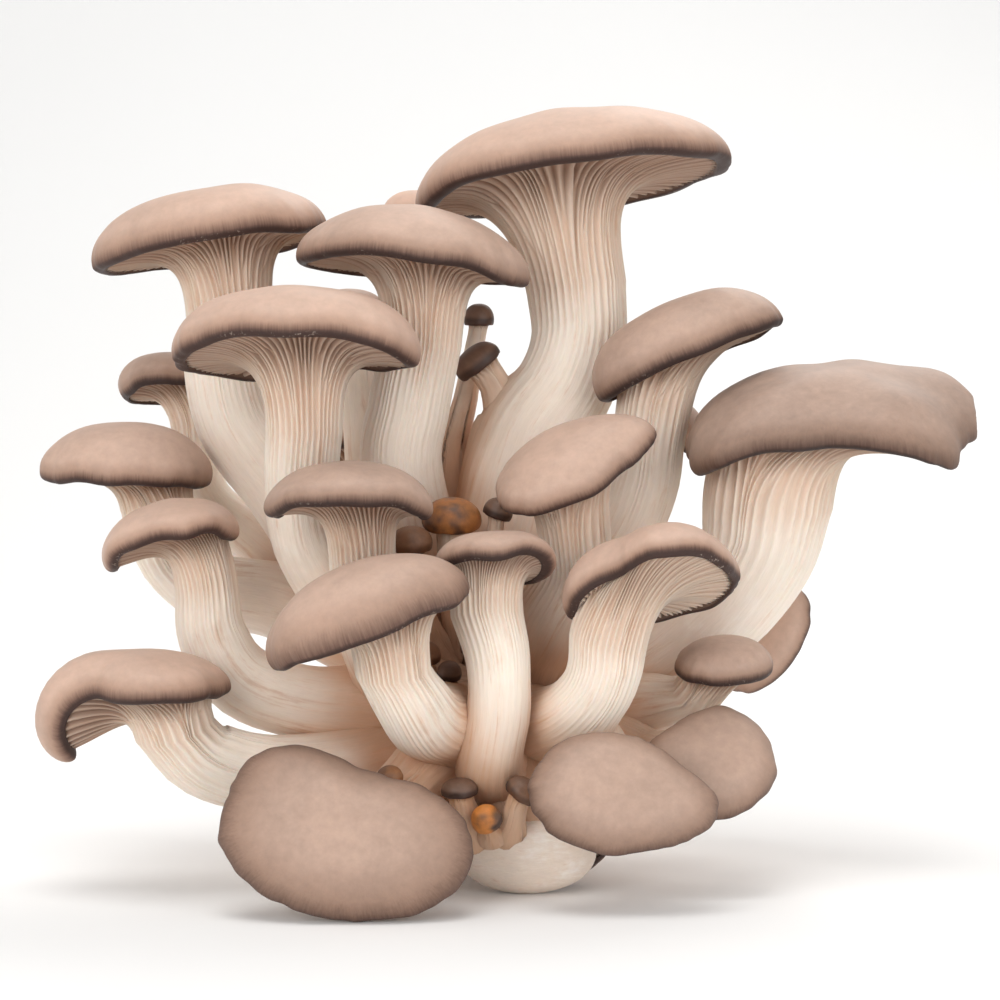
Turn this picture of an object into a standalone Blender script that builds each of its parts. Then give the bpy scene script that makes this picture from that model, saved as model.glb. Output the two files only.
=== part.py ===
"""Oyster mushroom cluster: brown caps on cream stems that all grow from one cut base.

Every length in the tables is in millimetres; MM turns it into metres when a mesh is made.
+Z is up, the cluster faces -Y and stands on the flat cut of its base, at z = 0.
Every number triple (x, y, z) is a place in that frame.
"""

import math
from dataclasses import dataclass, replace

import bmesh
import bpy
import numpy as np

MM = 0.001
PART_NAME = "oyster_mushroom_cluster"

# A cap and the gills under it
CAP_GAP = 0.95
BEND_GAP = 1.5
HIDDEN_GAP = 1.9
LIP_DEPTH = 2.0
LIP_SHARE = 0.90
GILL_SHARE = 0.84
HOLLOW_SHARE = 0.45
CURL_START = 0.35
GILL_RELIEF = 0.85
FULL_RELIEF_WIDTH = 16.0
CAP_TOP_RINGS = (0.42, 0.76, 0.94)
CAP_SMALL_RINGS = (0.5, 0.88)
GILL_RINGS = (0.24, 0.5, 0.76)
GILL_SMALL_RINGS = (0.32, 0.66)
FEWEST_FINE_GILLS = 13
FEWEST_LARGE_GILLS = 16

# The base that the stems grow from, cut flat underneath
BASE_LUMPS = (
    ((-3.0, 4.0, 42.0), (23.0, 18.0, 16.0)),
    ((-3.0, 9.0, 14.0), (21.0, 17.0, 20.0)),
    ((-14.0, 8.0, 26.0), (13.0, 14.0, 14.0)),
    ((10.0, 9.0, 28.0), (13.0, 14.0, 14.0)),
    ((-2.0, 20.0, 44.0), (17.0, 13.0, 15.0)),
    ((6.3, -39.0, 9.8), (16.6, 8.2, 10.0)),
)

GROUND_SIZE = 500.0

# Plain colours for the solids, with their roughness
CAP_COLOUR = (0.34, 0.24, 0.19, 1.0)
PIN_COLOUR = (0.17, 0.10, 0.075, 1.0)
FLESH_COLOUR = (0.80, 0.68, 0.56, 1.0)
MUSHROOM_ROUGHNESS = 0.62

ROUND = (1.0,)


@dataclass(frozen=True)
class Mushroom:
    """One fruiting body: its cap, and the stem that carries it.

    centre: the middle of the cap's margin.
    size: half of the cap's width, half of its depth, and the height of its dome.
    turn: roll (right side up), pitch (top towards the front) and spin, in degrees.
    curl: how many degrees the left and the right end bend down.
    droop: how far the front and the back bend down.
    twist: how many degrees more the right end is pitched than the middle.
    shoulder: how far out the dome stays full: a larger power keeps it level for longer.
    outline: the margin's radius as a share of the ellipse, at equal steps from the right, anticlockwise.
    seat: where the stem meets the cap, as shares of the half width and half depth.
    stem: (x, y, z, radius) from the neck under the cap down into the base.
    """

    name: str
    centre: tuple
    size: tuple
    turn: tuple
    stem: tuple
    curl: tuple = (0.0, 0.0)
    droop: tuple = (0.0, 0.0)
    twist: float = 0.0
    shoulder: float = 2.5
    outline: tuple = ROUND
    seat: tuple = (0.0, 0.0)
    gills: int = 13
    cap_sides: int = 16
    stem_sides: int = 10


MUSHROOMS = (
    Mushroom(
        "cap_crown", (19, 18, 173), (40, 30, 17.4), (7, -10.5, 0),
        ((19.5, 17, 145, 12.2), (20, 16, 132, 12), (16.5, 14, 120, 12.5), (7.5, 12, 106, 13),
         (0, 10, 82, 12), (-3, 8, 46, 12)),
        curl=(17, 4), droop=(1, 1), shoulder=1.8, outline=(1, 0.98, 1.03, 0.99, 1.02, 1.03, 0.99, 1.01),
        seat=(-0.12, 0), gills=16),
    Mushroom(
        "cap_upper_middle", (-21.5, -9, 151), (28.8, 22, 14.2), (-6, -5, 0),
        ((-19.5, -7, 131, 9.6), (-22.5, -4, 116, 10), (-24.5, -2, 100, 10.2), (-17, 4, 70, 10),
         (-8, 6, 45, 10)),
        curl=(13, 14), droop=(0, 1.5), twist=9, shoulder=1.7,
        outline=(1, 0.98, 0.96, 1.03, 1, 0.98, 1.02, 0.99), seat=(0.1, 0), gills=16),
    Mushroom(
        "cap_upper_left", (-73.2, 12, 155.7), (29.7, 22, 14.2), (9.2, -6, 0),
        ((-68.3, 12, 137, 10.5), (-69.6, 12, 125, 10.3), (-66, 12, 110, 10.5), (-55, 12, 95, 10.5),
         (-42, 12, 78, 11), (-25, 12, 58, 11), (-10, 10, 44, 11)),
        curl=(7, 0), droop=(0, 0.5), shoulder=2.6, outline=(1, 0.99, 0.98, 0.96, 1.01, 0.98, 1.02, 1),
        seat=(0.1, 0), gills=16),
    Mushroom(
        "cap_middle_left", (-49, -30, 129.4), (29.5, 23, 14.6), (0, -14, 0),
        ((-47.3, -27, 111, 9), (-48.2, -22, 98, 9), (-46.5, -17, 84, 9.6), (-38, -13, 70, 10.5),
         (-26, -8, 56, 10.5), (-10, -2, 45, 10.5)),
        curl=(17, 22), droop=(0, 1), twist=4, outline=(1, 0.8, 0.97, 1.03, 1, 1.03, 0.98, 1.02),
        seat=(0.04, 0), gills=16),
    Mushroom(
        "cap_upper_right", (47, -4, 128), (24.7, 16.5, 14.4), (22.6, -5, 0),
        ((38.6, -2, 113.5, 8.6), (37, -1, 106, 8.8), (35.6, 1, 97, 9.2), (32, 2, 87, 9.3),
         (25.5, 5, 76, 9.4), (15, 8, 54, 10), (4, 8, 42, 10)),
        curl=(10, 0), droop=(0, 0), outline=(1, 1.02, 0.98, 1.02, 1, 0.98), seat=(-0.24, 0)),
    Mushroom(
        "cap_far_right", (81, -13, 113.5), (37.2, 26, 12.3), (3, 15, 0),
        ((66.3, -8, 92, 15.6), (63.4, -7, 79, 14.3), (53, -5, 64, 13), (36, -2, 50, 12), (16, 3, 42, 12)),
        curl=(50, 26), droop=(0, 1), twist=24, shoulder=1.6,
        outline=(0.98, 0.97, 1.02, 0.98, 1, 0.97, 1, 1.1, 1.08, 0.92, 1.24, 1.08), seat=(-0.35, 0.05),
        gills=16),
    Mushroom(
        "cap_far_left", (-93.5, 2, 99.3), (21, 16, 12.3), (-2, 3, 0),
        ((-85.5, 4, 85, 8.8), (-81.5, 6, 76, 8.8), (-72, 7, 69, 9.2), (-56, 7, 66, 9.6),
         (-38, 8, 58, 10), (-18, 8, 47, 10)),
        curl=(16, 24), droop=(1, 1), shoulder=1.9, outline=(1, 1.02, 0.98, 1.02, 1, 0.98),
        seat=(0.35, 0.05)),
    Mushroom(
        "cap_left_arched", (-79.2, -24, 85.8), (17.6, 14, 7.8), (11, 0, 0),
        ((-71.5, -22, 72, 7.4), (-70, -22, 60, 8.4), (-63, -21, 49, 9), (-48, -18, 43.5, 9),
         (-32, -13, 42, 9), (-12, -4, 41, 9)),
        curl=(54, 66), droop=(0, 1), shoulder=1.5, outline=(0.92, 0.95, 1, 1.04, 1.12, 1.1, 1.04, 0.97),
        seat=(0.35, 0.05)),
    Mushroom(
        "cap_left_curled", (-85.5, -41.5, 49.5), (24, 15.5, 9), (0, 2, 0),
        ((-77, -38, 36, 10), (-69, -35, 30, 9.6), (-58, -31, 26, 9.6), (-43, -25, 27, 9),
         (-26, -14, 30, 9), (-8, -4, 33, 9)),
        curl=(84, 6), droop=(0, 1), shoulder=2.3, outline=(0.87, 1, 1, 1.1, 1.36, 0.68, 1.02, 0.96),
        seat=(0.3, 0.05), cap_sides=20),
    Mushroom(
        "cap_front_left", (-30.5, -62, 68.4), (25.2, 16.5, 13), (19.8, 8, 0),
        ((-24.8, -57, 55, 8.5), (-20.8, -54, 48, 8.8), (-17.8, -49, 43, 9.2), (-14, -39, 41, 9.6),
         (-10, -26, 38, 10), (-6, -10, 36, 10)),
        curl=(25, 16), droop=(1, 0), shoulder=1.75,
        outline=(0.97, 1.02, 0.98, 1.0, 0.99, 1.05, 0.98, 1.0), seat=(0.25, 0.1), gills=16),
    Mushroom(
        "cap_middle", (-35.5, -46, 95), (20.3, 16, 9), (0, -1, 0),
        ((-33, -38, 83, 7.8), (-32.5, -30, 68, 7.8), (-29, -23, 55, 8.4), (-20, -14, 46, 9),
         (-6, -4, 42, 9)),
        curl=(38, 42), droop=(0, 1), shoulder=1.45, seat=(0.12, 0.1)),
    Mushroom(
        "cap_front_fan", (-1.5, -44, 80.8), (14, 12, 6), (0, -8, 0),
        ((-3, -45, 67, 8.4), (-0.5, -47, 57, 7.6), (-0.2, -48.5, 45, 7), (-1.8, -46.5, 34, 7.2),
         (-2, -36, 29.5, 8), (-2, -14, 33, 10)),
        curl=(38, 64), droop=(0, 4), twist=-35, outline=(1.02, 1.1, 1.05, 1, 1, 1, 1, 1.02),
        seat=(-0.1, 0.1), gills=16),
    Mushroom(
        "cap_front_right", (36, -50, 75), (20.6, 18.5, 12.3), (6, -30, 0),
        ((27.2, -46.5, 57.8, 8.1), (25.3, -46.5, 53.2, 8.4), (22.5, -46, 49, 8.6),
         (17.5, -43, 43.5, 8.6), (11, -34, 40, 9), (4, -22, 38, 10), (-2, -8, 38, 10)),
        curl=(24, 8), droop=(0, 0), outline=(0.98, 1, 1.03, 1.06, 1, 0.8, 0.95, 1), seat=(-0.36, 0),
        gills=16),
    Mushroom(
        "cap_centre_right", (18.3, -33, 102), (20.5, 13.2, 9), (22, 27, 0),
        ((18, -27, 85, 8.4), (18.3, -25, 76, 8.4), (13.5, -20, 66, 9), (7, -14, 54, 9.5),
         (0, -5, 44, 10)),
        outline=(1, 0.98, 1.02, 1, 1, 1.16, 1.08, 0.86), seat=(-0.1, 0.1)),
    Mushroom(
        "cap_bottom_left", (-36, -70, 19.45), (29.3, 21, 9), (-5, 65, 0),
        ((-30, -55, 20, 8), (-24, -43, 23, 8.2), (-16, -28, 29, 9.2), (-5, -10, 36, 10)),
        outline=(1.02, 0.9, 0.75, 0.78, 1.06, 1.02, 0.97, 0.97, 0.97, 0.98, 1.04, 1.07),
        seat=(0.1, 0.25), gills=10),
    Mushroom(
        "cap_bottom_right", (28, -64, 27.5), (21.5, 15, 7.5), (-4, 60, 0),
        ((25.5, -50, 30, 6.9), (22, -37, 35, 8), (14, -20, 38, 9), (2, -6, 38, 9)),
        outline=(1.03, 0.84, 0.86, 0.96, 1.03, 1, 1.0, 1.02, 1.04, 1, 0.98, 1.06), seat=(0, 0.2),
        gills=10),
    Mushroom(
        "cap_lower_right", (49.8, -43, 31.8), (16, 15.6, 7.5), (-8, 50, 0),
        ((35.5, -30, 30, 6.2), (26, -20, 33, 8), (8, -6, 38, 9)),
        outline=(1, 1, 0.98, 0.8, 1, 1.06, 1.02, 0.96), seat=(-0.2, 0.1), gills=10, cap_sides=12,
        stem_sides=8),
    Mushroom(
        "cap_right_small", (54, -31, 53.5), (11.8, 10, 7), (2, 14, 0),
        ((47, -25, 45.5, 6), (38, -18, 43, 7), (24, -10, 41, 8.4), (6, -4, 40, 9)),
        seat=(-0.25, 0.1), gills=10, cap_sides=12, stem_sides=8),
    Mushroom(
        "cap_right_behind", (67, 16, 56.5), (15.5, 12, 6.5), (55, 50, 0),
        ((69.5, 25, 52.5, 5), (67, 31, 48, 5.2), (54, 32, 45, 6), (30, 21, 43, 8), (6, 9, 42, 9)),
        outline=(1, 1, 1, 1, 1.02, 1.04, 0.97, 1), seat=(0.0, 0.05), gills=10, cap_sides=12,
        stem_sides=8),
    Mushroom(
        "cap_left_behind", (-85.6, 31, 119.6), (12.6, 12, 9), (2, -13, 0),
        ((-80, 30, 109, 5), (-79, 29, 101, 5.6), (-75, 28, 90, 6.4), (-64, 25, 81, 7), (-44, 19, 66, 8),
         (-14, 13, 46, 9)),
        curl=(34, 14), droop=(0, 1), seat=(0.3, 0), gills=10, cap_sides=12, stem_sides=8),
    Mushroom(
        "cap_top_behind", (-21.8, 40, 165), (8.8, 8, 6), (0, 4, 0),
        ((-21.7, 39, 155, 4.6), (-21.5, 33, 135, 5), (-21.5, 23, 110, 6), (-16, 14, 75, 8),
         (-6, 10, 48, 9)),
        gills=8, cap_sides=10, stem_sides=8),
    Mushroom(
        "cap_middle_behind", (-38, 24, 139), (9, 8.5, 6), (-4, 4, 0),
        ((-36, 22, 129, 5.2), (-34, 19, 110, 6), (-31, 16, 90, 7), (-22, 12, 64, 8), (-8, 10, 46, 9)),
        gills=8, cap_sides=10, stem_sides=8),
    Mushroom(
        "cap_right_hidden", (46, 17, 110), (8, 7, 5), (-50, 30, 0),
        ((38, 16, 100, 3.8), (31, 15, 86, 4.6), (18, 12, 64, 6), (4, 8, 46, 8)),
        gills=8, cap_sides=10, stem_sides=8),
    Mushroom(
        "cap_under_base", (15.6, -25, 11), (11.5, 10, 4.5), (8, -118, 0),
        ((8, -38, 13.5, 8.6), (5, -35, 22, 9), (1, -22, 32, 11)),
        seat=(-0.1, -0.1), gills=10, cap_sides=12, stem_sides=8),
    Mushroom(
        "cap_back_left", (-36, 52, 99), (19, 16, 10.5), (0, -25, 0),
        ((-31, 43, 85, 7.6), (-24, 35, 70, 8), (-14, 24, 52, 9), (-6, 16, 40, 9)),
        curl=(18, 18), outline=(1, 1.03, 0.97, 1.02, 1, 0.98), gills=10, cap_sides=12, stem_sides=8),
    Mushroom(
        "cap_back_right", (24, 50, 77), (19, 16, 10.5), (-4, -28, 0),
        ((19, 41, 64, 7.6), (15, 33, 54, 8), (7, 22, 44, 9), (0, 16, 38, 9)),
        curl=(18, 18), outline=(1, 0.97, 1.02, 0.98, 1.03, 1), gills=10, cap_sides=12, stem_sides=8),
    Mushroom(
        "cap_back_low", (-22, 50, 36), (16, 13, 7.5), (3, -52, 0),
        ((-18, 39, 35, 6.6), (-12, 30, 36, 8), (-6, 20, 36, 9)),
        outline=(1, 1.03, 0.98, 1.02), gills=10, cap_sides=12, stem_sides=8),
)

PINS = (
    Mushroom("pin_tall_high", (-5.4, 24, 137.2), (3.9, 3.7, 4), (0, 5, 0),
             ((-6, 24, 133, 2.3), (-8.6, 22, 118, 3), (-12, 18, 98, 3.6), (-9, 12, 60, 4.5))),
    Mushroom("pin_tall_slanted", (-5.6, 13, 126.3), (6.4, 5, 4.2), (38, 10, 0),
             ((-1.6, 13, 121, 3.9), (0.4, 13, 114, 4.3), (-3.6, 12, 103, 4.6), (-7, 10, 60, 5))),
    Mushroom("pin_golden", (-11.8, -19, 88), (7.3, 6.5, 5.4), (0, 15, 0),
             ((-11.5, -19, 83, 3.9), (-11, -17, 74, 3.8), (-9, -12, 60, 4.5), (-6, -4, 46, 5))),
    Mushroom("pin_hooked", (-0.5, -17, 90), (3.7, 3.4, 3.4), (-20, 10, 0),
             ((-1, -17, 86.5, 2), (-2, -15, 78, 2.4), (-2, -11, 62, 3), (-2, -4, 48, 4))),
    Mushroom("pin_wrinkled", (-21.5, -25, 83), (5.2, 4.8, 3.8), (0, 20, 0),
             ((-21.5, -25, 79, 2.6), (-20.5, -22, 70, 3), (-17, -15, 58, 3.6), (-10, -6, 46, 4))),
    Mushroom("pin_orange", (6.6, -24, 82), (3.3, 3.1, 3.2), (10, 15, 0),
             ((6.2, -23.5, 79, 1.9), (5, -19, 70, 2.6), (4, -12, 58, 3.2), (1, -5, 46, 4))),
    Mushroom("pin_hollow_left", (-17.5, -30.5, 56), (3.3, 3.1, 3.4), (5, 25, 0),
             ((-17.2, -29.5, 51.5, 2), (-15, -22, 47, 2.8), (-10, -10, 42, 4))),
    Mushroom("pin_hollow_middle", (-12.2, -32.5, 52), (3, 2.8, 3), (-5, 25, 0),
             ((-12, -29.5, 46.6, 2), (-10.5, -22, 44, 2.8), (-8, -10, 41, 4))),
    Mushroom("pin_low_grey", (-9.5, -50, 26.2), (4.4, 4, 2.8), (3, 10, 0),
             ((-8.9, -49.4, 23.1, 3.0), (-7.8, -47.5, 18.5, 3.2), (-6, -41, 13, 3.8), (-3, -26, 22, 5))),
    Mushroom("pin_low_orange", (-3.1, -53, 19.6), (3.7, 3.2, 4.2), (24, 42, 0),
             ((-2.5, -50.6, 17, 2.2), (-1.8, -44, 15, 3), (-1, -30, 22, 4))),
    Mushroom("pin_low_dark", (5.3, -52, 26.1), (4.3, 3.9, 3.2), (-34, 16, 0),
             ((3.9, -51.2, 22.9, 2.6), (3, -48.8, 18.4, 2.6), (1.6, -42, 14, 3.4), (0, -28, 23, 4))),
    Mushroom("pin_low_left", (-25.8, -55.5, 29.9), (3.2, 3, 2.8), (10, 25, 0),
             ((-25.4, -53, 26.8, 2), (-22, -46, 23, 3), (-12, -24, 31, 4))),
)


def axes_of(turn):
    """The cap's right, back and up directions as the rows of a 3 by 3 array."""
    roll, pitch, spin = (math.radians(angle) for angle in turn)
    spun = np.array([[math.cos(spin), math.sin(spin), 0], [-math.sin(spin), math.cos(spin), 0], [0, 0, 1]])
    pitched = np.array([[1, 0, 0], [0, math.cos(pitch), math.sin(pitch)],
                        [0, -math.sin(pitch), math.cos(pitch)]])
    rolled = np.array([[math.cos(roll), 0, math.sin(roll)], [0, 1, 0], [-math.sin(roll), 0, math.cos(roll)]])
    return spun @ pitched @ rolled


def smooth_round(values, angle):
    """The smooth periodic curve through values at equal steps of the circle, read at angle."""
    waves = np.fft.rfft(values) / len(values)
    result = np.full_like(angle, waves[0].real)
    for number, wave in enumerate(waves[1:], start=1):
        share = 1.0 if 2 * number == len(values) else 2.0
        result += share * (wave.real * np.cos(number * angle) - wave.imag * np.sin(number * angle))
    return result


def angles_of(sides):
    return np.arange(sides) * (2 * math.pi / sides)


def place_on_cap(mushroom, across, back, height):
    """World points of the cap at shares (across, back) of its half sizes, after its ends are bent.

    The front and back droop by a square law and the right end twists. Past CURL_START the left and
    right ends follow an arc, so they bend down at their own thickness.
    """
    half_width, half_depth, _ = mushroom.size
    front, behind = mushroom.droop
    height = height - np.where(back < 0, front, behind) * back**2
    height = height + math.tan(math.radians(mushroom.twist)) * half_depth * back * np.maximum(across, 0) ** 2
    start = CURL_START * half_width
    reach = half_width - start
    past = np.maximum(np.abs(across) * half_width - start, 0.0)
    curl = np.radians(np.where(across < 0, *mushroom.curl)) + 1e-6
    turned = curl * past / reach
    flat = np.minimum(np.abs(across) * half_width, start)
    sideways = flat + reach / curl * np.sin(turned) + height * np.sin(turned)
    height = height * np.cos(turned) - reach / curl * (1 - np.cos(turned))
    local = np.stack([np.sign(across) * sideways, back * half_depth, height], axis=-1)
    return np.array(mushroom.centre) + local @ axes_of(mushroom.turn)


def cap_ring(mushroom, share, height, sides):
    """A ring of the cap at this share of its margin's radius."""
    angle = angles_of(sides)
    radius = share * smooth_round(mushroom.outline, angle)
    return place_on_cap(mushroom, radius * np.cos(angle), radius * np.sin(angle), np.full(sides, height))


def gill_gap(mushroom):
    """Room between cap and gills: more under bent ends, where flat facets stand off the true curve."""
    return CAP_GAP + BEND_GAP * max(mushroom.curl) / 90


def dome_height(mushroom, share):
    return mushroom.size[2] * (1 - share**mushroom.shoulder) ** 0.52


def lip_depth(mushroom):
    return min(LIP_DEPTH, 0.32 * mushroom.size[2])


def under_height(mushroom, share):
    """Height of the cap's underside, a shallow bowl that opens downwards inside the lip."""
    hollow = HOLLOW_SHARE * mushroom.size[2]
    return hollow * (1 - (share / LIP_SHARE) ** 2) - 0.6 * lip_depth(mushroom)


def stitch(first, count_a, second, count_b):
    """Triangles between two rings of unlike counts, both starting at angle zero."""
    triangles = []
    a = b = 0
    while a < count_a or b < count_b:
        if b == count_b or (a < count_a and (a + 1) * count_b <= (b + 1) * count_a):
            triangles.append((first + a % count_a, second + b % count_b, first + (a + 1) % count_a))
            a += 1
        else:
            triangles.append((first + a % count_a, second + b % count_b, second + (b + 1) % count_b))
            b += 1
    return triangles


def loft(rings, start, end):
    """A closed mesh through rings of points, with a fan to a point at each end."""
    points = [start]
    triangles = []
    count = len(rings[0])
    triangles += [(0, 1 + i, 1 + (i + 1) % count) for i in range(count)]
    first = 1
    for ring, following in zip(rings, rings[1:] + [None]):
        points.extend(ring)
        second = first + len(ring)
        if following is None:
            triangles += [(second, first + (i + 1) % len(ring), first + i) for i in range(len(ring))]
        else:
            triangles += stitch(first, len(ring), second, len(following))
        first = second
    points.append(end)
    return np.array(points), triangles


def cap_mesh(mushroom):
    """The brown cap: a dome, a lip rolled under it and the bowl of its underside."""
    sides = mushroom.cap_sides
    lip = lip_depth(mushroom)
    shares = CAP_TOP_RINGS if mushroom.gills >= FEWEST_LARGE_GILLS else CAP_SMALL_RINGS
    rings = [cap_ring(mushroom, share, dome_height(mushroom, share), sides) for share in shares]
    rings.append(cap_ring(mushroom, 1.0, 0.0, sides))
    rings.append(cap_ring(mushroom, 0.965, -lip, sides))
    rings.append(cap_ring(mushroom, LIP_SHARE, under_height(mushroom, LIP_SHARE), sides))
    rings.append(cap_ring(mushroom, 0.5, under_height(mushroom, 0.5), sides))
    middle = np.zeros(1)
    top = place_on_cap(mushroom, middle, middle, middle + mushroom.size[2])[0]
    under = place_on_cap(mushroom, middle, middle, middle + under_height(mushroom, 0.0))[0]
    return loft(rings, top, under)


def smooth_path(mushroom):
    """Points and radii along a curve through the stem's own points: two steps to each stretch of
    the upper half of a large stem, and one to the rest."""
    knots = np.array(mushroom.stem, float)
    fine = 1 if mushroom.gills >= FEWEST_FINE_GILLS else 0
    knots = np.vstack([2 * knots[0] - knots[1], knots, 2 * knots[-1] - knots[-2]])
    rows = []
    for number, (before, start, end, after) in enumerate(zip(knots, knots[1:], knots[2:], knots[3:])):
        for part in (0.0, 0.5) if number < fine else (0.0,):
            rows.append(0.5 * (2 * start + (end - before) * part
                               + (2 * before - 5 * start + 4 * end - after) * part**2
                               + (3 * start - before - 3 * end + after) * part**3))
    rows.append(knots[-2])
    return np.array(rows)


def stem_rings(mushroom, seat_point, counts):
    """Rings down the stem, each turned as little as possible from the one above."""
    path = smooth_path(mushroom)
    trail = np.vstack([seat_point, path[:, :3]])
    right = axes_of(mushroom.turn)[0]
    rings = []
    upward = None
    for index, (row, sides) in enumerate(zip(path, counts(len(path)))):
        after = trail[min(index + 2, len(trail) - 1)]
        upward = trail[index] - after
        upward /= np.linalg.norm(upward)
        right = right - upward * (right @ upward)
        right /= np.linalg.norm(right)
        back = np.cross(upward, right)
        angle = angles_of(sides)[:, None]
        rings.append(row[:3] + row[3] * (np.cos(angle) * right + np.sin(angle) * back))
        if index == 0:
            neck_up = upward
    return rings, neck_up, path[-1, :3]


def gill_rings(mushroom, neck, neck_up, seat_point):
    """Rings from the margin down to the neck: curves that leave the cap flat and join the stem,
    with every second line raised as a gill."""
    sides = 2 * mushroom.gills
    margin = cap_ring(mushroom, GILL_SHARE, under_height(mushroom, GILL_SHARE) - gill_gap(mushroom), sides)
    inner = margin + 0.52 * (seat_point - margin)
    reach = np.linalg.norm(seat_point - neck.mean(axis=0))
    outer = neck + 0.6 * reach * neck_up
    steps = [0.0, *(GILL_RINGS if mushroom.gills >= FEWEST_FINE_GILLS else GILL_SMALL_RINGS), 1.0]
    grid = np.array([(1 - t) ** 3 * margin + 3 * t * (1 - t) ** 2 * inner
                     + 3 * t**2 * (1 - t) * outer + t**3 * neck for t in steps])
    along = np.gradient(grid, axis=0)
    around = np.roll(grid, -1, axis=1) - np.roll(grid, 1, axis=1)
    normal = np.cross(along, around)
    normal /= np.linalg.norm(normal, axis=2, keepdims=True)
    swell = np.sin(math.pi * np.clip(np.array(steps) * 0.85, 0, 1))[:, None, None]
    side = np.where(np.arange(sides) % 2 == 0, 1.0, -1.0)[None, :, None]
    relief = GILL_RELIEF * min(1.0, mushroom.size[0] / FULL_RELIEF_WIDTH)
    return list(grid + relief * swell * side * normal)


def flesh_mesh(mushroom):
    """The cream part of one mushroom: gills and stem in one closed mesh."""
    seat = np.array(mushroom.seat)
    share = np.hypot(*seat)
    seat_height = under_height(mushroom, share) - gill_gap(mushroom) - 0.22 * mushroom.size[2]
    seat_point = place_on_cap(mushroom, seat[:1], seat[1:], np.array([seat_height]))[0]
    sides = 2 * mushroom.gills

    def counts(number):
        return [sides] + [mushroom.stem_sides] * (number - 1)

    stem, neck_up, foot = stem_rings(mushroom, seat_point, counts)
    rings = [cap_ring(mushroom, 0.5, under_height(mushroom, 0.5) - HIDDEN_GAP, mushroom.stem_sides)]
    rings += gill_rings(mushroom, stem[0], neck_up, seat_point)
    rings += stem[1:]
    middle = np.zeros(1)
    top = place_on_cap(mushroom, middle, middle, middle + under_height(mushroom, 0.0) - HIDDEN_GAP)[0]
    return loft(rings, top, foot)


def add_object(name, points, triangles, collection, material):
    """A named object with its origin in the middle of its points."""
    origin = points.mean(axis=0)
    mesh = bpy.data.meshes.new(name)
    mesh.from_pydata(((points - origin) * MM).tolist(), [], triangles)
    mesh.materials.append(material)
    mesh.shade_smooth()
    placed = bpy.data.objects.new(name, mesh)
    placed.location = origin * MM
    collection.objects.link(placed)
    return placed


def make_material(name, colour):
    material = bpy.data.materials.new(name)
    material.use_nodes = True
    shader = material.node_tree.nodes["Principled BSDF"]
    shader.inputs["Base Color"].default_value = colour
    shader.inputs["Roughness"].default_value = MUSHROOM_ROUGHNESS
    shader.inputs["Metallic"].default_value = 0.0
    return material


def move_to(collection, placed):
    for owner in list(placed.users_collection):
        owner.objects.unlink(placed)
    collection.objects.link(placed)


def add_helper_collection(name):
    collection = bpy.data.collections.new(name)
    bpy.context.scene.collection.children.link(collection)
    return collection


def add_ground_cutter(collection):
    """The block below z = 0 that the base is cut flat with."""
    bpy.ops.mesh.primitive_cube_add(size=GROUND_SIZE * MM, location=(0, 0, -GROUND_SIZE * MM / 2))
    cutter = bpy.context.object
    cutter.name = "ground_cutter"
    cutter.hide_render = True
    cutter.display_type = "WIRE"
    move_to(collection, cutter)
    return cutter


def add_base_lumps(collection, material):
    """The lumpy base that the stems share, from balls of their own sizes."""
    for number, (centre, half) in enumerate(BASE_LUMPS):
        bpy.ops.mesh.primitive_ico_sphere_add(subdivisions=2, radius=1.0)
        lump = bpy.context.object
        lump.name = f"base_lump_{number}"
        lump.location = [value * MM for value in centre]
        lump.scale = [value * MM for value in half]
        lump.data.materials.append(material)
        move_to(collection, lump)


def join_flesh(parts, collection, cutter, material):
    """One closed body from every stem and base lump, cut flat on its underside."""
    flesh = parts.objects[0]
    rest = bpy.data.collections.new("flesh_parts")
    bpy.context.scene.collection.children.link(rest)
    for piece in list(parts.objects)[1:]:
        parts.objects.unlink(piece)
        rest.objects.link(piece)
    union = flesh.modifiers.new("union", "BOOLEAN")
    union.operation = "UNION"
    union.operand_type = "COLLECTION"
    union.collection = rest
    union.solver = "MANIFOLD"
    cut = flesh.modifiers.new("flat_cut", "BOOLEAN")
    cut.operation = "DIFFERENCE"
    cut.object = cutter
    cut.solver = "MANIFOLD"
    bpy.context.view_layer.update()
    graph = bpy.context.evaluated_depsgraph_get()
    mesh = bpy.data.meshes.new_from_object(flesh.evaluated_get(graph))
    mesh.transform(flesh.matrix_world)
    mesh.name = "stems_and_gills"
    keep_outer_shell(mesh)
    joined = bpy.data.objects.new("stems_and_gills", mesh)
    mesh.materials.clear()
    mesh.materials.append(material)
    mesh.shade_smooth()
    collection.objects.link(joined)
    for piece in list(rest.objects) + [flesh]:
        bpy.data.objects.remove(piece, do_unlink=True)
    bpy.data.collections.remove(rest)
    return joined


def keep_outer_shell(mesh):
    """Keep the largest connected surface: what is shut in between stems is solid, scraps go."""
    work = bmesh.new()
    work.from_mesh(mesh)
    seen = set()
    shells = []
    for start in work.verts:
        if start in seen:
            continue
        seen.add(start)
        shell = [start]
        for vertex in shell:
            for edge in vertex.link_edges:
                other = edge.other_vert(vertex)
                if other not in seen:
                    seen.add(other)
                    shell.append(other)
        shells.append(shell)
    shells.sort(key=len)
    for shell in shells[:-1]:
        bmesh.ops.delete(work, geom=shell, context="VERTS")
    work.to_mesh(mesh)
    work.free()


def clear_scene():
    for thing in list(bpy.data.objects):
        bpy.data.objects.remove(thing, do_unlink=True)


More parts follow.
